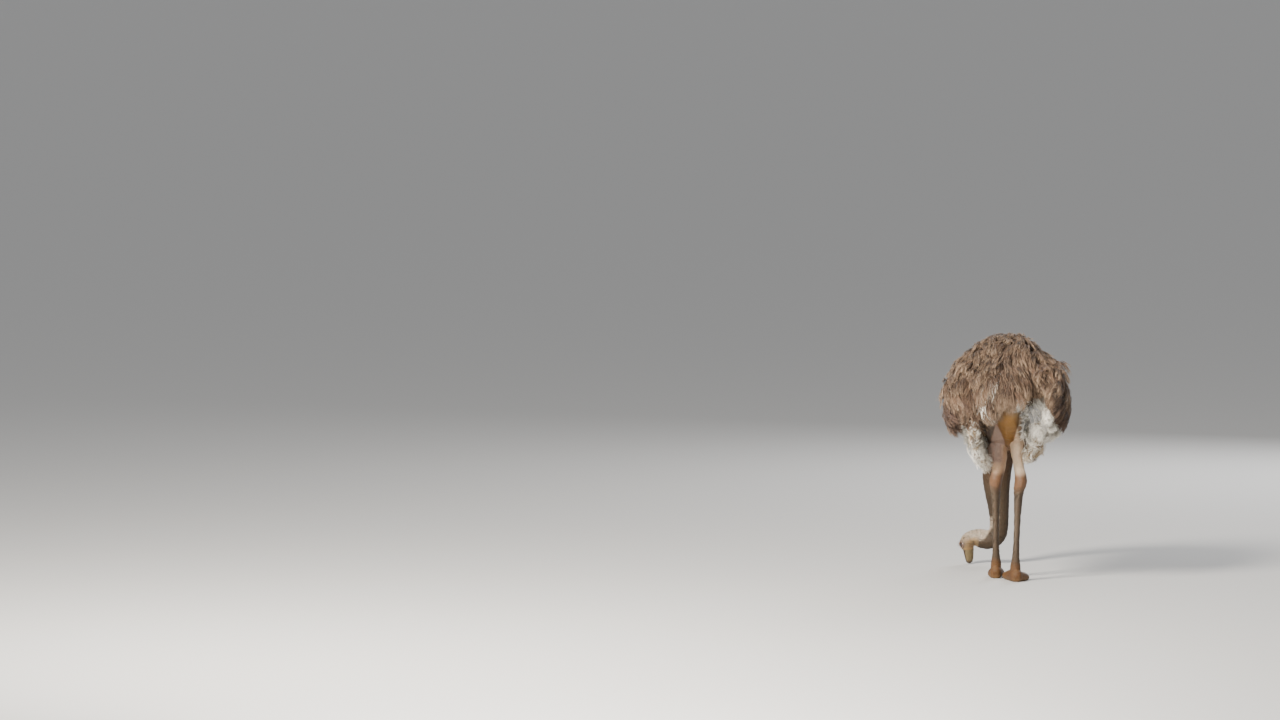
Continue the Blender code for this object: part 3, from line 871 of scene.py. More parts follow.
def cornersOf(faces, copies, each, first=0):  # the corners of one shape's faces, for all its copies
    flat = np.concatenate([np.array(face) for face in faces])
    return (flat[None, :] + (first + np.arange(copies) * each)[:, None]).ravel()


def writeUnwrap(mesh, spots, corners):
    layer = mesh.uv_layers.new(name="OFBake")
    layer.data.foreach_set("uv", spots[corners].astype(np.float32).ravel())


def patchAt(point):  # the place of a point on the skin's unwrap
    near, _, face, _ = skinTree.find_nearest(point)
    corners = [Vector(skinCoords[v]) for v in skinCorners[face]]
    patch = [Vector((*uv, 0)) for uv in skinPatches[face]]
    return np.array(barycentric_transform(near, *corners, *patch))[:2]


scuteBuild = {
    "shinRows": 21, "shinFoot": 0.098, "shinTop": 0.15,         # rows, lowest, below the hock
    "shinAngle": 46, "shinNarrows": 12, "shinOverlap": 1.24,    # half angles in degrees
    "toeRows": {"toe_big": 15, "toe_small": 9},
    "toeStart": {"toe_big": 0.060, "toe_small": 0.040}, "toeEnd": 0.006,
    "toeAngle": 50, "toeOverlap": 1.26,
    "thick": 0.0026, "sink": 0.0012, "columns": 9, "steps": 5,
    "castFrom": 0.065, "castReach": 0.085, "farthest": 0.038,   # how plates find the skin
    "shades": (0.86, 1.22), "seed": 31,
}


def scuteGrid(centre, way, outward, halfAngle, length):  # a plate bent round a leg or toe
    columns, steps = scuteBuild["columns"], scuteBuild["steps"]
    across = way.cross(outward).normalized()
    outer, inner = [], []
    for j in range(steps + 1):
        s = j / steps
        for i in range(columns + 1):
            t = i / columns * 2 - 1
            angle = math.radians(halfAngle) * t * (1 - 0.10 * (2 * s - 1) ** 2)
            ray = (outward * math.cos(angle) + across * math.sin(angle)).normalized()
            start = centre + way * length * (s - 0.5) * (1 - 0.12 * t * t)
            start = start + ray * scuteBuild["castFrom"]
            hit = skinTree.ray_cast(start, -ray, scuteBuild["castReach"])[0]
            if hit is None or (hit - centre).length > scuteBuild["farthest"]:
                return None
            edge = min(1.0, 3.2 * (1 - abs(t)))
            edge = edge * min(1.0, 4 * (1 - s) + 0.15) * min(1.0, 2.2 * s + 0.25)
            rise = scuteBuild["thick"] * (0.15 + 0.85 * s) * max(0.0, edge) ** 0.6 - 0.0002
            outer.append(hit + ray * rise)
            inner.append(hit - ray * scuteBuild["sink"])
    return outer, inner


def shellFaces(columns, steps):  # both grids and the rim between them
    wide = columns + 1
    count = wide * (steps + 1)
    faces = []
    for j in range(steps):
        for i in range(columns):
            a = j * wide + i
            quad = (a, a + 1, a + 1 + wide, a + wide)
            faces += [quad, tuple(count + v for v in reversed(quad))]
    rim = list(range(columns)) + [columns + j * wide for j in range(steps)]
    rim += [steps * wide + i for i in range(columns, 0, -1)]
    rim += [j * wide for j in range(steps, 0, -1)]
    for k, a in enumerate(rim):
        b = rim[(k + 1) % len(rim)]
        faces.append((b, a, count + a, count + b))
    return faces


def placeOn(axis, way, value):  # the place on a middle line where one of its axes has a value
    return Vector([np.interp(value, axis[:, way], axis[:, i]) for i in range(3)])


def shinScutes(side):
    axis, rows = legAxes[side], scuteBuild["shinRows"]
    foot = scuteBuild["shinFoot"]
    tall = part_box("shank_" + side)[1].z - scuteBuild["shinTop"] - foot
    for k in range(rows):
        s = (k + 0.5) / rows
        centre = placeOn(axis, 2, foot + tall * s)
        halfAngle = scuteBuild["shinAngle"] - scuteBuild["shinNarrows"] * s
        length = tall / rows * scuteBuild["shinOverlap"]
        yield scuteGrid(centre, -up, Vector((0, 1, 0)), halfAngle, length)


def toeScutes(kind, side):
    axis, rows = axisOf(kind + "_" + side, 1, 0.009), scuteBuild["toeRows"][kind]
    axis = axis[np.argsort(axis[:, 1])]
    for i in (0, 2):  # the toe's middle line as a smooth bow
        axis[:, i] = np.polyval(np.polyfit(axis[:, 1], axis[:, i], 2), axis[:, 1])
    first, last = axis[0, 1] + scuteBuild["toeStart"][kind], axis[-1, 1] - scuteBuild["toeEnd"]
    for k in range(rows):
        y = first + (last - first) * (k + 0.5) / rows
        centre = placeOn(axis, 1, y)
        way = (placeOn(axis, 1, y + 0.01) - centre).normalized()
        outward = (up - way * way.z).normalized()
        length = (last - first) / rows * scuteBuild["toeOverlap"]
        yield scuteGrid(centre, way, outward, scuteBuild["toeAngle"], length)


def makeScutes():
    grids = []
    for side in bothSides:
        grids += shinScutes(side)
        for kind in scuteBuild["toeRows"]:
            grids += toeScutes(kind, side)
    grids = [grid for grid in grids if grid]
    faces = shellFaces(scuteBuild["columns"], scuteBuild["steps"])
    coords = np.array([[tuple(p) for p in outer + inner] for outer, inner in grids])
    count = coords.shape[1]
    corners = cornersOf(faces, len(grids), count)
    sizes = np.tile([4] * len(faces), len(grids))
    mesh = meshFromArrays("scutes", coords.reshape(-1, 3), corners, sizes)
    reworked(mesh, lambda work: bmesh.ops.recalc_face_normals(work, faces=work.faces))
    points, normals = coordsOf(mesh), normalsOf(mesh)
    paint = skinPaint(points, normals, partsAt(points))
    rng = np.random.default_rng(scuteBuild["seed"])
    shade = np.repeat(rng.uniform(*scuteBuild["shades"], len(grids)), count)[:, None]
    writeTint(mesh, "tint", paint * shade)
    print("scutes:", len(grids), "plates")
    return placed("scutes", mesh)


hornSurface = {"streaks": 190, "clouds": 28, "fine": 700, "relief": 0.40, "reliefDepth": 0.0006,
               "shader": {"Specular IOR Level": 0.22}}


def makeHornFinish(name, depth):
    g, look = Graph(name), hornSurface
    streaks = g.noise(look["streaks"], 4, 0.6, g.places((1, 1, 0.22)))
    clouds = g.noise(look["clouds"], 4, 0.6)
    fine = g.noise(look["fine"], 2, 0.5)
    colour = g.worn(g.tint("tint"), (0.50, 0.42, 0.34), (streaks, 0.42, 0.72), 0.55)
    colour = g.worn(colour, (1.0, 0.90, 0.72), (clouds, 0.5, 0.8), 0.35, "SOFT_LIGHT")
    height = g.plus(g.times(streaks, 0.7), g.times(fine, 0.3))
    g.bump(height, look["relief"] * depth, look["reliefDepth"])
    return g.finish(colour, g.spread(clouds, 0.3, 0.7, 0.50, 0.70), look["shader"])


hornFinish = makeHornFinish("horn", 1.0)
scutes = makeScutes()
scutes.data.materials.append(makeHornFinish("scuteHorn", 0.7))
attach(scutes, "root")


# bill, claws and eyes
hornBuild = {
    "voxel": 0.0009, "grain": 0.00018,
    "nostrilAhead": 0.0250, "nostrilSide": 0.0066, "nostrilSize": (0.0080, 0.0019),
    "nostrilDepth": 0.0024, "channelWidth": 0.0042, "channelDepth": 0.0010,
    "ridgeWidth": 0.0038, "ridge": 0.0007,
    "nail": 0.0165, "nailGroove": 0.0006, "nailRise": 0.0004, "rootSink": 0.0016,
    "clawRings": 22, "clawRingDepth": 0.0004,
}


def makeHorn(node, rounds):
    mesh = bpy.data.meshes.new(node)
    work = mergedCopy(node)
    work.to_mesh(mesh)
    work.free()
    made = remeshed(placed(node + "_horn", mesh), hornBuild["voxel"], rounds)
    smoothShaded(made.data)
    return made


def makeBill():
    # the upper bill's dark tone is painted shade and the lower bill's pale tone painted light on the
    # same horn
    for node, ground, rootShare in (("bill_upper", "billShadedHorn", 0.35), ("bill_lower", "billLitHorn", 0.7)):
        piece = makeHorn(node, 6)
        mesh = piece.data
        points, out = coordsOf(mesh), normalsOf(mesh)
        ahead, _, lateral = headPlaces(points)
        d = ahead - (eyeMiddle.z - billRootZ)  # from the root of the bill
        amount = roughness(points, 160, 11, 3) * hornBuild["grain"]
        if node == "bill_upper":
            size = hornBuild["nostrilSize"]
            slot = np.hypot((d - hornBuild["nostrilAhead"]) / size[0],
                            (np.abs(lateral) - hornBuild["nostrilSide"]) / size[1])
            topSide = ramp(out @ np.array(crownWay), 0.05, 0.35)
            amount -= hornBuild["nostrilDepth"] * ramp(slot, 1.0, 0.35) * topSide
            channel = hump(np.abs(lateral), hornBuild["nostrilSide"], hornBuild["channelWidth"]) \
                * ramp(d, 0.058, 0.040)
            amount -= hornBuild["channelDepth"] * channel * ramp(d, -0.002, 0.006) * topSide
            amount += hornBuild["ridge"] * hump(lateral, 0, hornBuild["ridgeWidth"]) * topSide \
                * ramp(d, 0.064, 0.050)
        nail = billRootZ - billTipZ - hornBuild["nail"]
        amount -= hornBuild["nailGroove"] * hump(d, nail, 0.0018)
        amount += hornBuild["nailRise"] * ramp(d, nail + 0.001, nail + 0.005)
        amount -= hornBuild["rootSink"] * ramp(d, 0.0045, -0.001)  # the root goes in under the skin
        setCoords(mesh, points + out * amount[:, None])
        base = np.tile(mark[ground], (len(points), 1))
        base = over(base, mark["billRoot"], ramp(d, 0.012, -0.002) * rootShare)
        base = over(base, mark["billTip"], ramp(d, nail - 0.004, nail + 0.008) * 0.85)
        if node == "bill_upper":
            # painted shade: the nostril slots are darkened
            base = over(base, mark["nostril"], ramp(slot, 1.05, 0.5) * topSide)
        writeTint(mesh, "tint", base)
        mesh.materials.clear()
        mesh.materials.append(hornFinish)
        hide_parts(node)
        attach(piece, "root")


def makeClaws():
    for node in paired("claw"):
        piece = makeHorn(node, 5)
        mesh = piece.data
        points, out = coordsOf(mesh), normalsOf(mesh)
        y = points[:, 1]
        share = (y - y.min()) / (y.max() - y.min())
        amount = -hornBuild["clawRingDepth"] * np.abs(np.sin(share * hornBuild["clawRings"])) \
            * ramp(share, 0.9, 0.5)
        setCoords(mesh, points + out * amount[:, None])
        base = over(np.tile(mark["claw"], (len(points), 1)), mark["clawTip"], ramp(share, 0.15, 0.9))
        writeTint(mesh, "tint", over(base, mark["footDust"], ramp(points[:, 2], 0.016, 0.004) * 0.5))
        mesh.materials.clear()
        mesh.materials.append(hornFinish)
        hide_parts(node)
        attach(piece, "root")


eyeBuild = {"iris": 41, "pupil": 17, "cornea": 0.0009, "inset": 0.0002, "rings": 40, "turns": 72}


def makeEyes():
    g = Graph("eyeGloss")
    gaze = g.split(g.tint("gaze"))[0]  # angle from the middle of the pupil, as a share of 90 degrees
    iris, pupil = eyeBuild["iris"] / 90, eyeBuild["pupil"] / 90
    streaks = g.noise(420, 3, 0.6)
    brown = g.mixed((0.026, 0.012, 0.006), (0.060, 0.027, 0.012), g.spread(streaks, 0.35, 0.7))
    white = g.mixed((0.040, 0.026, 0.020), (0.07, 0.046, 0.035), streaks)
    colour = g.mixed(white, brown, g.spread(gaze, iris + 0.02, iris - 0.02))
    colour = g.mixed(colour, (0.004, 0.003, 0.003), g.spread(gaze, pupil + 0.012, pupil - 0.012))
    finish = g.finish(colour, 0.06, {
        "Specular IOR Level": 0.6, "Coat Weight": 0.6, "Coat Roughness": 0.03})
    for side, node in ((1, "eye_left"), (-1, "eye_right")):
        centre, look, _, _ = eyeFrame(side)
        work = bmesh.new()
        bmesh.ops.create_uvsphere(work, u_segments=eyeBuild["turns"], v_segments=eyeBuild["rings"],
                                  radius=eyeRadius - eyeBuild["inset"])
        turn = Vector(look).to_track_quat("Z", "Y").to_matrix()
        angles = []
        for vert in work.verts:
            angle = math.degrees(up.angle(vert.co))
            angles.append(angle)
            vert.co *= 1 + eyeBuild["cornea"] / eyeRadius * float(ramp(angle, eyeBuild["iris"] + 4, 4))
            vert.co = turn @ vert.co + Vector(centre)
        mesh = bpy.data.meshes.new(node + "_ball")
        work.to_mesh(mesh)
        work.free()
        smoothShaded(mesh)
        writeTint(mesh, "gaze", np.repeat(np.array(angles)[:, None] / 90, 3, axis=1))
        mesh.materials.append(finish)
        piece = placed(node + "_ball", mesh)
        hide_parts(node)
        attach(piece, "root")


makeBill()
makeClaws()
makeEyes()
print("bill, claws and eyes made")


# strands: short closed three-sided hairs, used for down and lashes
def sampleSkin(count, share, rng):  # random places on the skin, more where the share is higher
    corners = skinCoords[skinCorners]
    first, second = corners[:, 1] - corners[:, 0], corners[:, 2] - corners[:, 0]
    weight = np.linalg.norm(np.cross(first, second), axis=1) * share[skinCorners].mean(axis=1)
    faces = np.searchsorted(np.cumsum(weight), rng.random(count) * weight.sum())
    faces = faces.clip(0, len(weight) - 1)
    first, second = rng.random(count), rng.random(count)
    flip = first + second > 1
    first[flip], second[flip] = 1 - first[flip], 1 - second[flip]
    blend = np.stack([1 - first - second, first, second], axis=1)[:, :, None]
    places, normals, patches = ((rows[faces] * blend).sum(axis=1)
                                for rows in (corners, skinNormals[skinCorners], skinPatches))
    return places, unit(normals), patches, skinParts[skinCorners[faces, 0]]


strandRidge = 0.16  # height of a strand's ridge as a share of its width


def strandFaces(first, steps):  # three sides between rings, closed at the root and drawn to a point
    faces = [(first, first + 2, first + 1)]
    for ring in range(first, first + 3 * (steps - 1), 3):
        for i in range(3):
            n = (i + 1) % 3
            faces.append((ring + i, ring + n, ring + 3 + n, ring + 3 + i))
    ring = first + 3 * (steps - 1)
    return faces + [(ring + i, ring + (i + 1) % 3, ring + 3) for i in range(3)]


def strandMesh(name, lines, widths, ups, tints, patches):
    # lines: strands x points x 3; each point but the last carries a three-sided ring
    count, steps = lines.shape[0], lines.shape[1] - 1
    ways = unit(np.gradient(lines, axis=1))[:, :-1]
    across = unit(np.cross(ways, ups[:, None, :]))
    upright = np.cross(across, ways)
    taper = (1 - np.arange(steps) / (steps + 0.35))[None, :, None] * widths[:, None, None]
    rings = [lines[:, :-1] + across * taper * u + upright * taper * v
             for u, v in ((-0.5, -0.1), (0.5, -0.1), (0.0, strandRidge))]
    body = np.stack(rings, axis=2).reshape(count, steps * 3, 3)
    coords = np.concatenate([body, lines[:, -1:]], axis=1)
    faces = strandFaces(0, steps)
    sizes = np.tile([len(face) for face in faces], count)
    corners = cornersOf(faces, count, steps * 3 + 1)
    mesh = meshFromArrays(name, coords.reshape(-1, 3), corners, sizes)
    along = np.append(np.repeat(np.arange(steps) / steps, 3), 1.0)
    side = np.append(np.tile((-0.5, 0.5, 0.0), steps), 0.0)
    root, tip = tints
    colour = root[:, None, :] + (tip - root)[:, None, :] * along[None, :, None]
    writeTint(mesh, "tint", colour.reshape(-1, 3))
    spots = patches[:, None, :] + np.stack([side, along - 0.5], axis=1)[None] * patchSize
    writeUnwrap(mesh, spots.reshape(-1, 2), corners)
    print(name, count, "strands", int((sizes - 2).sum()), "triangles")
    return mesh


plumeSurface = {"fine": 240, "clouds": 14, "roughness": 0.82}


def makePlumeFinish(name, sheen):
    g = Graph(name)
    spots = g.places()
    fine = g.noise(plumeSurface["fine"], 3, 0.6, spots)
    soft = g.noise(plumeSurface["clouds"], 3, 0.5, spots)
    colour = g.worn(g.tint("tint"), (0.68, 0.62, 0.57), (fine, 0.40, 0.68), 0.55)
    colour = g.worn(colour, (1.0, 0.93, 0.84), (soft, 0.48, 0.72), 0.35, "SOFT_LIGHT")
    return g.finish(colour, plumeSurface["roughness"], {
        "Sheen Weight": sheen, "Sheen Roughness": 0.5, "Specular IOR Level": 0.25})


plumeFinish = makePlumeFinish("plume", 0.06)
downFinish = makePlumeFinish("down", 0.04)

neckNodes = ("neck_base", "neck_lower", "neck_middle", "neck_upper")
neckPath = [boxMiddle(name) for name in (*neckNodes, "head")]
neckPath[2] = Vector((neckPath[1].x, neckPath[2].y, neckPath[2].z))


def towardsBody(points):  # the lie of the down: back along the neck, and back over the head
    points = np.asarray(points, float)
    line = np.array([tuple(p) for p in neckPath])
    found = np.zeros((len(points), 3))
    for k, way in enumerate(line[:-1] - line[1:]):
        share = np.clip(((points - line[k + 1]) @ way) / (way @ way), 0, 1)
        gap = np.linalg.norm(points - line[k + 1] - share[:, None] * way, axis=1)
        weight = 1 / (gap + 0.01) ** 3
        found += unit(way) * weight[:, None]
    ahead = headPlaces(points)[0]
    onHead = ramp(ahead, -0.055, -0.025) * (points[:, 1] > 0.55) * (points[:, 2] < 0.22)
    back = np.array((0, 0, 1.0)) - 0.25 * np.array(crownWay)
    return unit(unit(found) * (1 - onHead[:, None]) + back * onHead[:, None])


downBuild = {
    "neckTufts": 10800, "neckStrands": 3, "neckLength": 0.0135, "neckWidth": 0.0016,
    "headTufts": 6000, "headStrands": 3, "headLength": 0.0062, "headWidth": 0.00080,
    "neckLift": 0.90, "headLift": 0.75, "scatter": 0.0018, "sink": 0.0008,
    "shades": (0.90, 1.15), "bleachedShare": 0.15, "tipShades": (1.5, 1.12),
    "lashes": 30, "lashLength": 0.0155, "lashWidth": 0.00062, "lashColour": (0.020, 0.015, 0.012),
    "seed": 12,
}


def makeDown():
    rng = np.random.default_rng(downBuild["seed"])
    ahead, dorsal, lateral = headPlaces(skinCoords)
    onNeck = isPart(skinParts, "neck") * 1.0
    onHead = isPart(skinParts, "head") * ramp(ahead, 0.0335, 0.028)
    for side in (1, -1):
        away, _, _, spot = eyeOpening(skinCoords, side)
        onHead = onHead * np.where(away < eyeRadius + 0.014, ramp(spot, 1.35, 1.8), 1.0)
    pit = earPit(ahead, dorsal)
    onHead = onHead * np.where(np.abs(lateral) > 0.015, ramp(pit, 0.85, 1.15), 1.0)
    neckShare = onNeck * (0.55 + 0.45 * ramp(skinCoords[:, 2], 0.30, 0.55))
    for kind, share in (("neck", neckShare), ("head", onHead)):
        tufts, strands, longest, wide, lift = (downBuild[kind + field] for field in (
            "Tufts", "Strands", "Length", "Width", "Lift"))
        roots, normals, patches, parts = sampleSkin(tufts, share, rng)
        flows = towardsBody(roots)
        flows = unit(flows - normals * (flows * normals).sum(axis=1, keepdims=True))
        sideways = np.cross(normals, flows)
        # the down takes the skin's colours, painted light and shade included
        paint = skinPaint(roots, normals, parts)
        if kind == "neck":
            grow = 0.8 + 1.3 * ramp(roots[:, 2], 0.62, 0.92)
        else:
            ahead, dorsal, _ = headPlaces(roots)
            grow = 0.55 + 0.75 * ramp(ahead, 0.020, -0.035) + 0.35 * ramp(dorsal, 0.010, 0.026)
        shade = rng.uniform(*downBuild["shades"], (tufts, 1))
        bleached = np.where(rng.random((tufts, 1)) < downBuild["bleachedShare"],
                            *downBuild["tipShades"])
        lines, widths = [], []
        for _ in range(strands):
            way = unit(flows + sideways * rng.normal(0, 0.50, (tufts, 1)))
            length = longest * grow[:, None] * rng.uniform(0.65, 1.25, (tufts, 1))
            raised = rng.uniform(0.06, 0.34, (tufts, 1)) * lift
            base = roots + sideways * rng.normal(0, downBuild["scatter"], (tufts, 1)) \
                - normals * downBuild["sink"]
            end = base + way * length + normals * length * raised * 0.80
            end += sideways * length * rng.normal(0, 0.15, (tufts, 1))
            lines.append(np.stack([base, end], axis=1))
            widths.append(wide * rng.uniform(0.75, 1.3, tufts))
        ups, root, tip, spots = (np.tile(rows, (strands, 1)) for rows in (
            normals, paint * shade * 0.90, paint * shade * bleached, patches))
        name = "coat_" + kind
        mesh = strandMesh(name, np.concatenate(lines), np.concatenate(widths), ups, (root, tip), spots)
        mesh.materials.append(downFinish)
        made = placed(name, mesh)
        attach(made, "root")


def makeLashes():
    rng = np.random.default_rng(downBuild["seed"] + 1)
    lines, ups, spots = [], [], []
    a, b = headBuild["opening"]
    count = downBuild["lashes"]
    for side in (1, -1):
        centre, look, ahead, crown = eyeFrame(side)
        for k in range(count):
            turn = math.radians(-8 + 196 * (k + rng.uniform(-0.3, 0.3)) / (count - 1))
            along = math.radians(a * math.cos(turn) * 1.04)
            across = math.radians(b * math.sin(turn) * 1.02 + headBuild["openingShift"])
            way = unit(look + ahead * math.tan(along) + crown * math.tan(across))
            rim = unit(ahead * math.cos(turn) + crown * math.sin(turn))
            root = centre + way * (eyeRadius + headBuild["lidProud"] * 0.9)
            grow = 0.55 + 0.45 * math.sin(max(0, turn))
            length = downBuild["lashLength"] * rng.uniform(0.7, 1.1) * grow
            middle = root + unit(way * 0.9 + rim * 0.25) * length * 0.5
            tip = middle + unit(way * 0.55 + rim * 0.75) * length * 0.5
            lines.append([root - way * 0.0006, (root + middle) / 2, middle,
                          (middle + tip) / 2 + rim * 0.0004, tip])
            ups.append(crown)
            spots.append(patchAt(Vector(root)))
    dark = np.tile(np.array(downBuild["lashColour"]), (len(lines), 1))
    lines, ups, spots = np.array(lines), np.array(ups), np.array(spots)
    widths = np.full(len(lines), downBuild["lashWidth"])
    mesh = strandMesh("lashes", lines, widths, ups, (dark, dark * 1.6), spots)
    mesh.materials.append(downFinish)
    made = placed("lashes", mesh)
    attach(made, "root")


makeDown()
makeLashes()


# plumage
# the outline of the plumage is one smooth hull: plumes are laid under it and end on it
coatNodes = ("trunk", *paired("wing"), "tail", *paired("flank"), "neck_base")
fillers = (  # loose plumes that bridge the gap between a wing and the rump: place, size
    ((-0.165, -0.38, 0.920), (0.17, 0.42, 0.42)),
    ((0.165, -0.37, 0.910), (0.18, 0.38, 0.40)),
    ((-0.138, -0.22, 0.730), (0.11, 0.28, 0.22)),
)
hullBuild = {"voxel": 0.012, "smoothing": 10}
hullMesh = joinedMesh([mergedCopy(name) for name in coatNodes]
                      + [egg(size, place) for place, size in fillers], "hull")


def remeshedCopy(mesh, spacing, rounds):  # the places on an even net of the given spacing
    made = placed("netCopy", mesh.copy())
    net = remeshed(made, spacing, rounds).data
    bpy.data.objects.remove(made)
    return net


hullTree = treeOf(remeshedCopy(hullMesh, hullBuild["voxel"], hullBuild["smoothing"]))
nodeTrees = {name: treeOf(nodes[name].data) for name in coatNodes}


def regionAt(point):  # the CAD node that a place on the hull belongs to
    return min(nodeTrees, key=lambda name: nodeTrees[name].find_nearest(point)[3])


def flowAt(point, normal, region):  # the way the plumes lie, before it is laid on the surface
    side = 1 if point.x > 0 else -1
    if region.startswith("flank"):
        return Vector((-side * 0.30, -0.12, -1))
    if region == "tail":
        return Vector((point.x * 0.8, -0.45, -1))
    if region.startswith("wing"):
        return Vector((0, -0.85, -0.42 - 0.5 * max(0.0, 0.9 - point.z)))
    if region == "neck_base":
        return Vector((side * 0.1, -0.75, 0.55))
    top = max(0.0, normal.z)
    if normal.y > 0.55:  # down the breast, or over the shoulders
        high = float(ramp(point.z, 0.80, 0.98))
        return Vector((side * (0.30 - 0.24 * high), -0.30 - 0.30 * high, -1 + 1.5 * high))
    return Vector((side * 0.30 * top * min(1, abs(point.x) / 0.1), -0.85, -0.55 + 0.35 * top))


def spineFrom(start, region, pale, length, rng, tree, deepest):  # walks down the coat from a root
    near, normal, _, _ = tree.find_nearest(start)
    hem = rng.normal(*coatBuild["raggedHem"])
    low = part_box(region)[0].z - coatBuild["flankSlack"] if region.startswith("flank") else 0.0
    depth = min(skinTree.find_nearest(near)[3], deepest) if tree is hullTree else deepest
    places, normals = [near], [normal]
    stride, free = length / coatBuild["steps"], 0
    turn = rng.normal(0, coatBuild["stray"])
    turn += noise.noise(near * coatBuild["swirlScale"]) * coatBuild["swirl"]
    way = None
    for _ in range(coatBuild["steps"]):
        if free:  # past an edge it hangs on through the air
            way = (way + Vector((0, 0, -coatBuild["droop"]))).normalized()
        else:
            flow = flowAt(near, normal, region)
            flow = (flow - normal * flow.dot(normal)).normalized()
            flow = (flow + normal.cross(flow) * turn).normalized()
            way = flow if way is None else (way * 0.5 + flow * 0.5).normalized()
        ahead = near + way * stride
        if not free:
            onto, newNormal, _, _ = tree.find_nearest(ahead)
            if newNormal.dot(normal) < coatBuild["edge"]:
                free = 1
            else:
                ahead, normal = onto, (normal * 0.4 + newNormal * 0.6).normalized()
        else:
            free += 1
        seen = float(fromBehind(ahead)[0])
        overThigh = -0.13 < ahead.x < 0 and seen > lineAt(creamTop, ahead.x) + abs(hem)
        if pale and (seen < lineAt(creamEnd, ahead.x) - abs(hem) or overThigh):
            break
        if not pale and ahead.y < rearEdge and seen < lineAt(hemLine, ahead.x) + hem:
            break
        if tree is hullTree and bareShare(ahead, normal)[0] > coatBuild["bareEnd"]:
            break
        if ahead.z < low:
            break
        near = ahead
        places.append(near)
        normals.append(normal)
        if free * stride > coatBuild["freeLength"]:
            break
    return places, normals, depth


def plumeShape(look, rng):  # one plume: along 0 to 1, across and lift in half widths of its vane
    rows, faces, along, sides = [], [], [], []

    def strand(path, width):  # a tapered three-sided strand, closed at both ends
        first = len(rows)
        for index, (s, u, w) in enumerate(path[:-1]):
            after = path[index + 1]
            heading = np.array([(after[0] - s) * look["length"] / look["vane"], after[1] - u])
            heading /= max(np.linalg.norm(heading), 1e-6)
            thick = width * (1 - index / len(path)) ** 0.7
            for cross, out in ((-0.5, 0), (0.5, 0), (0, 0.5)):
                rows.append((s - heading[1] * cross * thick * look["vane"] / look["length"],
                             u + heading[0] * cross * thick, w + out * thick))
                along.append(s)
                sides.append(cross)
        rows.append(path[-1])
        along.append(path[-1][0])
        sides.append(0)
        faces.extend(strandFaces(first, len(path) - 1))

    bend = rng.normal(0, 0.10)
    strand([(t, bend * t * t, 0) for t in (0, 0.3, 0.6, 0.88)], look["shaft"])
    pairs, cuts, bare = look["pairs"], look["cuts"], look["bare"]
    for hand in (-1, 1):
        clump = (0, 0)  # barbs hang together in threes
        for i in range(pairs):
            s0 = bare + (0.93 - bare) * np.clip(i + rng.uniform(-0.8, 0.8), 0, pairs) / pairs
            full = math.sin(math.pi * min(1, (0.12 + 0.88 * s0)) ** 0.9) ** 0.55 + 0.18
            reach = full * rng.uniform(0.25, 1.15)
            run = min(look["sweep"] * rng.uniform(0.55, 1.45) * (1.15 - 0.35 * s0), 1.16 - s0)
            lift = rng.normal(0, look["loose"]) - 0.10
            if i % 3 == 0:
                clump = (reach, lift)
            reach = reach * 0.55 + clump[0] * 0.45
            lift = lift * 0.4 + clump[1] * 0.6
            curl, wave = rng.normal(0, look["curl"]), rng.normal(0, look["wave"])
            phase = rng.uniform(0, 2 * math.pi)
            path = []
            for k in range(cuts + 1):
                t = k / cuts
                bow = 1 - (1 - t) ** 1.7
                path.append((s0 + run * t ** 1.15,
                             bend * s0 * s0 + hand * reach * bow * (1 - look["close"] * t)
                             + wave * math.sin(4.6 * t + phase) * t,
                             lift * t * t + curl * math.sin(math.pi * t) * t))
            strand(path, look["barb"])
    along = np.array(along)
    return np.array(rows), faces, along / along.max(), np.array(sides)


def layPlumes(local, spines):  # copies of one plume shape laid on many spines, in one array
    out = np.empty((len(spines), len(local), 3))
    for index, (spine, across, normal, vane) in enumerate(spines):
        last = len(spine) - 1
        at = local[:, 0] * last
        low = np.clip(at.astype(int), 0, last - 1)
        share = (at - low)[:, None]
        centre = spine[low] * (1 - share) + spine[low + 1] * share
        mix = np.clip(share, 0, 1)
        side = across[low] * (1 - mix) + across[low + 1] * mix
        lift = normal[low] * (1 - mix) + normal[low + 1] * mix
        out[index] = centre + side * local[:, 1:2] * vane + lift * local[:, 2:3] * vane
    return out


def frameSpine(places, normals, depth, height, rng):  # lifts the walk off the skin, layer by layer
    line = np.array([tuple(p) for p in places])
    out = unit([tuple(n) for n in normals])
    share = np.linspace(0, 1, len(line))
    low = coatBuild["rootHeight"]
    rise = low + (height - low) * np.clip(share / coatBuild["fullHeight"], 0, 1) ** 0.75
    line = line - out * (depth * (1 - rise))[:, None]
    line += out * (rng.normal(0, coatBuild["tipLift"]) * share ** 2)[:, None]
    way = unit(np.gradient(line, axis=0))
    across = unit(np.cross(way, out))
    swing = rng.normal(0, coatBuild["swing"])
    swing = swing * np.sin(share * rng.uniform(3.5, 6.5) + rng.uniform(0, 6)) * share
    line += across * swing[:, None]
    roll = rng.normal(0, coatBuild["roll"])
    lift = np.cross(across, way)
    rolled = unit(across * math.cos(roll) + lift * math.sin(roll))
    return line, rolled, unit(lift * math.cos(roll) - across * math.sin(roll))


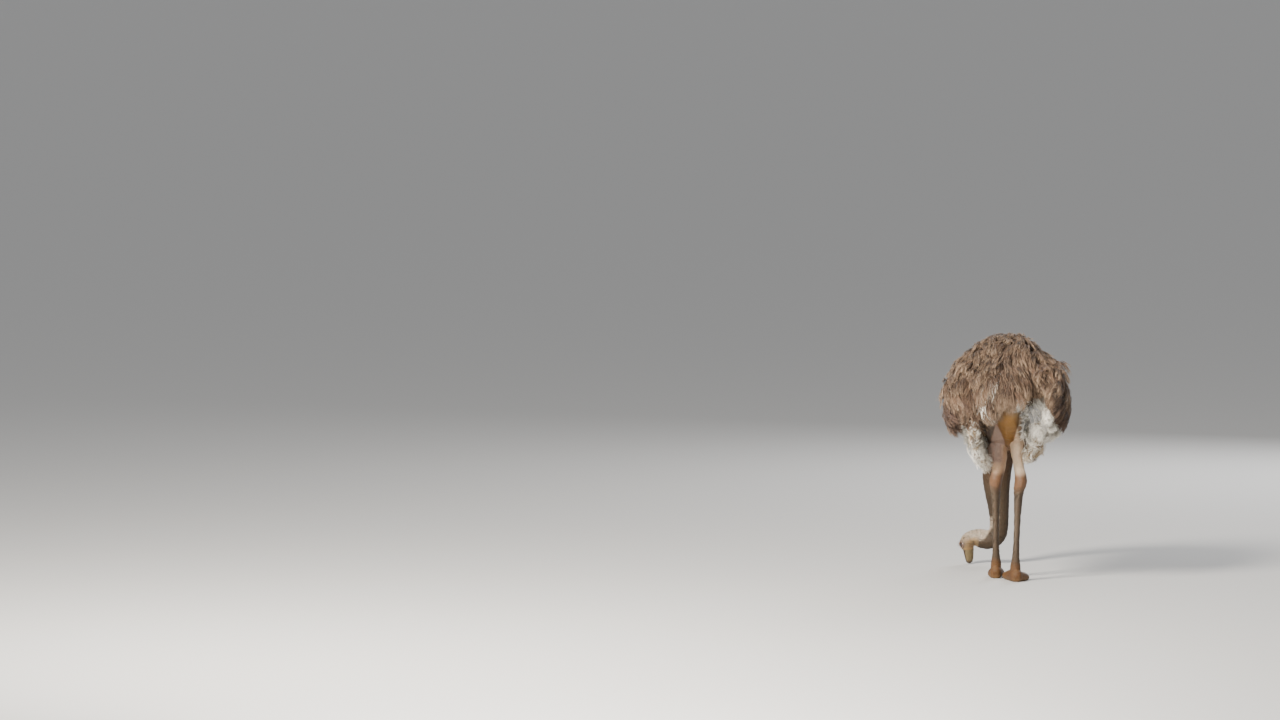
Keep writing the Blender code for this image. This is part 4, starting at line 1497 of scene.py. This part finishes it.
# one dictionary for each kind of plume, in metres and shares
plumeLooks = {
    "body": {"length": 0.165, "vane": 0.024, "pairs": 10, "cuts": 3, "sweep": 0.62, "loose": 0.26,
             "curl": 0.08, "wave": 0.22, "close": 0.42, "bare": 0.12, "barb": 0.105, "shaft": 0.06},
    "wing": {"length": 0.215, "vane": 0.032, "pairs": 12, "cuts": 3, "sweep": 0.54, "loose": 0.24,
             "curl": 0.07, "wave": 0.18, "close": 0.42, "bare": 0.12, "barb": 0.086, "shaft": 0.06},
    "tail": {"length": 0.230, "vane": 0.034, "pairs": 12, "cuts": 3, "sweep": 0.52, "loose": 0.30,
             "curl": 0.14, "wave": 0.22, "close": 0.36, "bare": 0.12, "barb": 0.084, "shaft": 0.05},
    "flank": {"length": 0.150, "vane": 0.034, "pairs": 17, "cuts": 3, "sweep": 0.36, "loose": 0.26,
              "curl": 0.12, "wave": 0.10, "close": 0.34, "bare": 0.08, "barb": 0.078, "shaft": 0.045},
    "under": {"length": 0.120, "vane": 0.034, "pairs": 7, "cuts": 2, "sweep": 0.36, "loose": 0.30,
              "curl": 0.0, "wave": 0.10, "close": 0.15, "bare": 0.05, "barb": 0.140, "shaft": 0.05},
    "collar": {"length": 0.085, "vane": 0.017, "pairs": 9, "cuts": 2, "sweep": 0.42, "loose": 0.16,
               "curl": 0.0, "wave": 0.10, "close": 0.40, "bare": 0.15, "barb": 0.120, "shaft": 0.08},
}
coatBuild = {
    "spacing": 0.0272, "jitter": 0.009, "shapes": 10, "seed": 7, "wingShare": 0.465,
    "deepest": 0.085, "steps": 8, "fewest": 3, "freeLength": 0.03, "flankSlack": 0.004,
    "stray": 0.16, "swirl": 0.55, "swirlScale": 6.0, "raggedHem": (0.014, 0.012),
    "edge": 0.35, "droop": 0.28,                # where a plume leaves the surface, how it hangs
    "bareLimit": 0.35, "bareEnd": 0.6, "underBareLimit": 0.25,
    "rootHeight": 0.06, "fullHeight": 0.62,     # plumes rise through the coat from root to here
    "tipLift": 0.006, "swing": 0.0045, "roll": 0.22,
    "tuckedIn": 0.05, "tuckedHeight": 0.55,  # cream plumes that start under the hem
    "underSpacing": 0.042, "underDeep": 0.030, "underLowest": 0.09,
    "clouds": 0.55, "cloudScale": 13.0, "lightTips": 0.3, "mottled": 0.85, "tanShare": 0.6,
    "shades": ((0.42, 0.70), (0.80, 1.15), (1.20, 1.60)), "shadeShares": (0.28, 0.47, 0.25),
}
plumeColours = {
    "brown": (0.120, 0.070, 0.043),
    "pale": (0.400, 0.285, 0.190),
    "cream": (0.96, 0.92, 0.82),
    "tan": (0.50, 0.37, 0.22),
    "dark": (0.058, 0.033, 0.024),
    "shaded": (0.50, 0.50, 0.50),
}
plumeColour = {name: np.array(colour) for name, colour in plumeColours.items()}

kindOn = {"tail": "tail", "flank_left": "flank", "flank_right": "flank", "wing_left": "wing",
          "wing_right": "wing", "trunk": "body", "neck_base": "collar"}
# plumes ruffled up on the right shoulder, seen from behind
ruffle = {"x": 0.232, "seen": 1.130, "reach": 0.040, "lift": 0.45}
# pale fluff between the brown plumes: where it starts, seen from behind, and its reach
paleTufts = ((-0.052, 1.100, 0.022), (-0.138, 1.015, 0.036))


def plumeTint(point, region, pale, rng):  # colours of a plume at its root, middle and tip
    brown, light, cream, tan, dark, shaded = plumeColour.values()
    seen = float(fromBehind(point)[0])
    rear = float(ramp(point.y, 0.10, -0.15))
    shade = rng.uniform(*coatBuild["shades"][int(rng.choice(3, p=coatBuild["shadeShares"]))])
    shade *= 1 + coatBuild["clouds"] * noise.noise(point * coatBuild["cloudScale"])
    if pale:
        if point.x < 0:
            mottled = float(ramp(seen - lineAt(bandTop, point.x), 0.0, 0.03))
        else:
            mottled = 0.7 * float(ramp(seen, 0.76, 0.70))
        if rng.random() < coatBuild["mottled"] * mottled:
            ground = tan if rng.random() < coatBuild["tanShare"] else brown * 1.6
            middle = ground * rng.uniform(0.6, 1.0)
            return middle * 0.7, middle, tan * rng.uniform(0.8, 1.3)
        middle = cream * rng.uniform(0.86, 1.0)
        inner = float(ramp(point.x, 0.155, 0.105)) * float(ramp(seen, 0.76, 0.82)) * (point.x > 0)
        middle = middle * (1 - inner) + shaded * inner
        return middle * 0.93, middle, cream * (1 - 0.35 * inner)
    middle, tip = brown * shade, brown * 0.45 + light * 0.55
    if rng.random() < coatBuild["lightTips"]:
        tip = light * rng.uniform(0.9, 1.25)
    if region.startswith("wing"):
        edge = max(float(ramp(point.z, 0.86, 0.74)),
                   float(ramp(abs(point.x), 0.265, 0.305) * ramp(seen, 1.05, 0.93)) * rear)
        middle = middle * (1 - edge) + dark * shade * edge
        tip = tip * (1 - 0.8 * edge) + dark * 1.6 * 0.8 * edge
    elif region == "tail":
        tip = tip * 0.6 + light * 0.4
    fluff = 0.0
    for x, height, reach in paleTufts:
        away = math.hypot(point.x - x, seen - height)
        fluff = max(fluff, rear * float(ramp(away, reach, reach * 0.5)))
    middle = middle * (1 - fluff) + cream * rng.uniform(0.75, 1.0) * fluff
    tip = tip * (1 - fluff) + cream * fluff
    return middle * 0.55, middle, tip


def groupName(point, region, kind):  # the piece that a plume belongs to
    if kind == "under":
        return "coat_under"
    if region == "trunk":
        half = "coat_breast_" if point.y > rearEdge else "coat_back_"
        return half + ("left" if point.x < 0 else "right")
    return {"neck_base": "coat_collar"}.get(region, "coat_" + region)


def addPlume(groups, start, region, kind, pale, tree, deepest, height, rng):  # lays one plume
    look = plumeLooks[kind]
    length = look["length"] * rng.uniform(0.8, 1.2)
    places, normals, depth = spineFrom(start, region, pale, length, rng, tree, deepest)
    if len(places) < coatBuild["fewest"]:
        return
    if tree is skinTree:  # under plumes start on the skin, so their walk is lifted to its full depth
        places = [p + n * depth for p, n in zip(places, normals)]
    spine = frameSpine(places, normals, depth, height, rng)
    travelled = length * (len(places) - 1) / coatBuild["steps"]
    vane = look["vane"] * rng.uniform(0.85, 1.15) * (0.6 + 0.4 * travelled / look["length"])
    pick = int(rng.integers(coatBuild["shapes"]))
    tint = plumeTint(start, region, pale, rng)
    groups.setdefault(groupName(start, region, kind), []).append(
        (kind, pick, (*spine, vane), tint, patchAt(Vector(spine[0][0]))))


def makeCoat():
    rng = np.random.default_rng(coatBuild["seed"])
    shapes = {kind: [plumeShape(look, rng) for _ in range(coatBuild["shapes"])]
              for kind, look in plumeLooks.items()}
    groups = {}
    for seed in coordsOf(remeshedCopy(hullMesh, coatBuild["spacing"], 1)):
        start = Vector(seed + rng.normal(0, coatBuild["jitter"], 3))
        near, normal, _, _ = hullTree.find_nearest(start)
        region = regionAt(near)
        chance, height = rng.random(), rng.uniform(0.45, 1.03)
        if region in ("trunk", "tail") and bareShare(near, normal)[0] > coatBuild["bareLimit"]:
            continue
        if region.startswith("wing") and chance > coatBuild["wingShare"]:
            continue
        if region == "neck_base" and chance > float(ramp(near.z, 0.72, 0.86)):
            continue
        pale = isPale(near)[0]
        kind = "flank" if pale else kindOn[region]
        if kind == "wing" and near.y > -0.1 and near.z > 0.92:
            kind = "body"
        away = math.hypot(near.x - ruffle["x"], fromBehind(near)[0] - ruffle["seen"])
        height += ruffle["lift"] * float(ramp(away, ruffle["reach"], 0.01))
        laid = (hullTree, coatBuild["deepest"])
        addPlume(groups, near, region, kind, pale, *laid, height, rng)
        if not pale and isPale(near - up * coatBuild["tuckedIn"])[0]:
            addPlume(groups, near, region, "flank", True, *laid, coatBuild["tuckedHeight"], rng)
    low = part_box("thigh_left")[1].z - coatBuild["underLowest"]
    # a second, short coat right on the trunk's skin
    for seed in coordsOf(remeshedCopy(flesh.data, coatBuild["underSpacing"], 1)):
        near, normal, face, _ = skinTree.find_nearest(Vector(seed))
        if fleshNodes[skinParts[skinCorners[face][0]]] != "trunk" or near.z < low:
            continue
        if bareShare(near, normal)[0] > coatBuild["underBareLimit"]:
            continue
        if near.y > 0.36 and normal.z < 0.1:
            continue
        if hullTree.find_nearest(near)[3] < 0.055 and normal.z > -0.3 and near.y < 0.36:
            continue
        addPlume(groups, near, "trunk", "under", isPale(near)[0], skinTree, coatBuild["underDeep"],
                 rng.uniform(0.6, 1.1), rng)
    return shapes, groups


def buildPiece(name, plumes, shapes):  # one mesh from all plumes of a group, shape by shape
    coords, corners, sizes, tints, spots = [], [], [], [], []
    first = 0
    order = {}
    for plume in plumes:
        order.setdefault((plume[0], plume[1]), []).append(plume)
    for (kind, pick), members in sorted(order.items()):
        local, faces, along, sides = shapes[kind][pick]
        laid = layPlumes(local, [member[2] for member in members])
        root, middle, tip = (np.array([member[3][i] for member in members])[:, None, :]
                             for i in range(3))
        early, late = (ramp(along[None, :, None], *limits) for limits in ((0.10, 0.48), (0.58, 0.95)))
        colour = (root * (1 - early) + middle * early) * (1 - late) + tip * late
        coords.append(laid.reshape(-1, 3))
        tints.append(colour.reshape(-1, 3))
        patch = np.stack([sides, along - 0.5], axis=1)[None] * patchSize
        roots = np.array([member[4] for member in members])[:, None, :]
        spots.append((patch + roots).reshape(-1, 2))
        corners.append(cornersOf(faces, len(members), len(local), first))
        sizes.append(np.tile([len(face) for face in faces], len(members)))
        first += len(members) * len(local)
    corners, sizes = np.concatenate(corners), np.concatenate(sizes)
    mesh = meshFromArrays(name, np.concatenate(coords), corners, sizes)
    writeTint(mesh, "tint", np.concatenate(tints))
    writeUnwrap(mesh, np.concatenate(spots), corners)
    mesh.materials.append(plumeFinish)
    print(name, len(plumes), "plumes", int((sizes - 2).sum()), "triangles")
    return placed(name, mesh)


plumeShapes, plumeGroups = makeCoat()
for groupLabel in sorted(plumeGroups):
    made = buildPiece(groupLabel, plumeGroups[groupLabel], plumeShapes)
    node = groupLabel.removeprefix("coat_")
    if node in nodes:
        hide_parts(node)
    "plume_white" if "flank" in groupLabel else "plume_brown"
    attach(made, "root")

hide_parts("trunk", "neck_base", "neck_lower", "neck_middle", "neck_upper", "head",
            "thigh_left", "thigh_right", "shank_left", "shank_right", "toe_big_left",
            "toe_big_right", "toe_small_left", "toe_small_right")
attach(flesh, "root")

# camera, floor and lights
view = {"focal": 160, "sensor": 36, "distance": 30.0, "elevation": 5.0, "middle": 0.6,
        "turn": 3.691, "tip": 3.966, "farthest": 2000}
studio = {"floorSize": 900, "floorColour": (0.50, 0.49, 0.475, 1), "floorRoughness": 0.9,
          "skyColour": (0.95, 0.97, 1.0, 1), "skyStrength": 0.55}
lamps = {  # place, what it points at, width, power and colour
    "key": ((-4.2, -5.2, 5.0), (0, 0, 0.7), 2.0, 1550, (1.0, 0.95, 0.87)),
    "front": ((2.5, 7.0, 4.0), (0, 0, 0.7), 4.0, 420, (0.97, 0.98, 1.0)),
    "fill": ((-1.5, -7.5, 1.2), (0, 0, 0.8), 4.0, 520, (1.0, 0.96, 0.91)),
}
camera = placed("camera", bpy.data.cameras.new("camera"))
camera.data.lens = view["focal"]
camera.data.sensor_width = view["sensor"]
camera.data.clip_end = view["farthest"]
rise, distance = math.radians(view["elevation"]), view["distance"]
camera.location = (0, -distance * math.cos(rise), view["middle"] + distance * math.sin(rise))
camera.rotation_euler = (math.radians(90 - view["tip"]), 0, math.radians(view["turn"]))
bpy.context.scene.camera = camera

floorData = bpy.data.meshes.new("floor")
reworked(floorData, lambda work: bmesh.ops.create_grid(
    work, x_segments=1, y_segments=1, size=studio["floorSize"]))
floor = placed("floor", floorData)
floorFinish = bpy.data.materials.new("paleFloor")
floorFinish.use_nodes = True
floorShader = floorFinish.node_tree.nodes["Principled BSDF"]
floorShader.inputs["Base Color"].default_value = studio["floorColour"]
floorShader.inputs["Roughness"].default_value = studio["floorRoughness"]
floorData.materials.append(floorFinish)

world = bpy.data.worlds.new("studio")
bpy.context.scene.world = world
world.use_nodes = True
sky = world.node_tree.nodes["Background"]
sky.inputs["Color"].default_value = studio["skyColour"]
sky.inputs["Strength"].default_value = studio["skyStrength"]

for name, (place, target, size, power, colour) in lamps.items():
    lamp = placed(name, bpy.data.lights.new(name, "AREA"))
    lamp.data.shape = "DISK"
    lamp.data.size = size
    lamp.data.energy = power
    lamp.data.color = colour
    lamp.location = place
    lamp.rotation_euler = (Vector(target) - Vector(place)).to_track_quat("-Z", "Y").to_euler()
print("camera, floor and lights set")
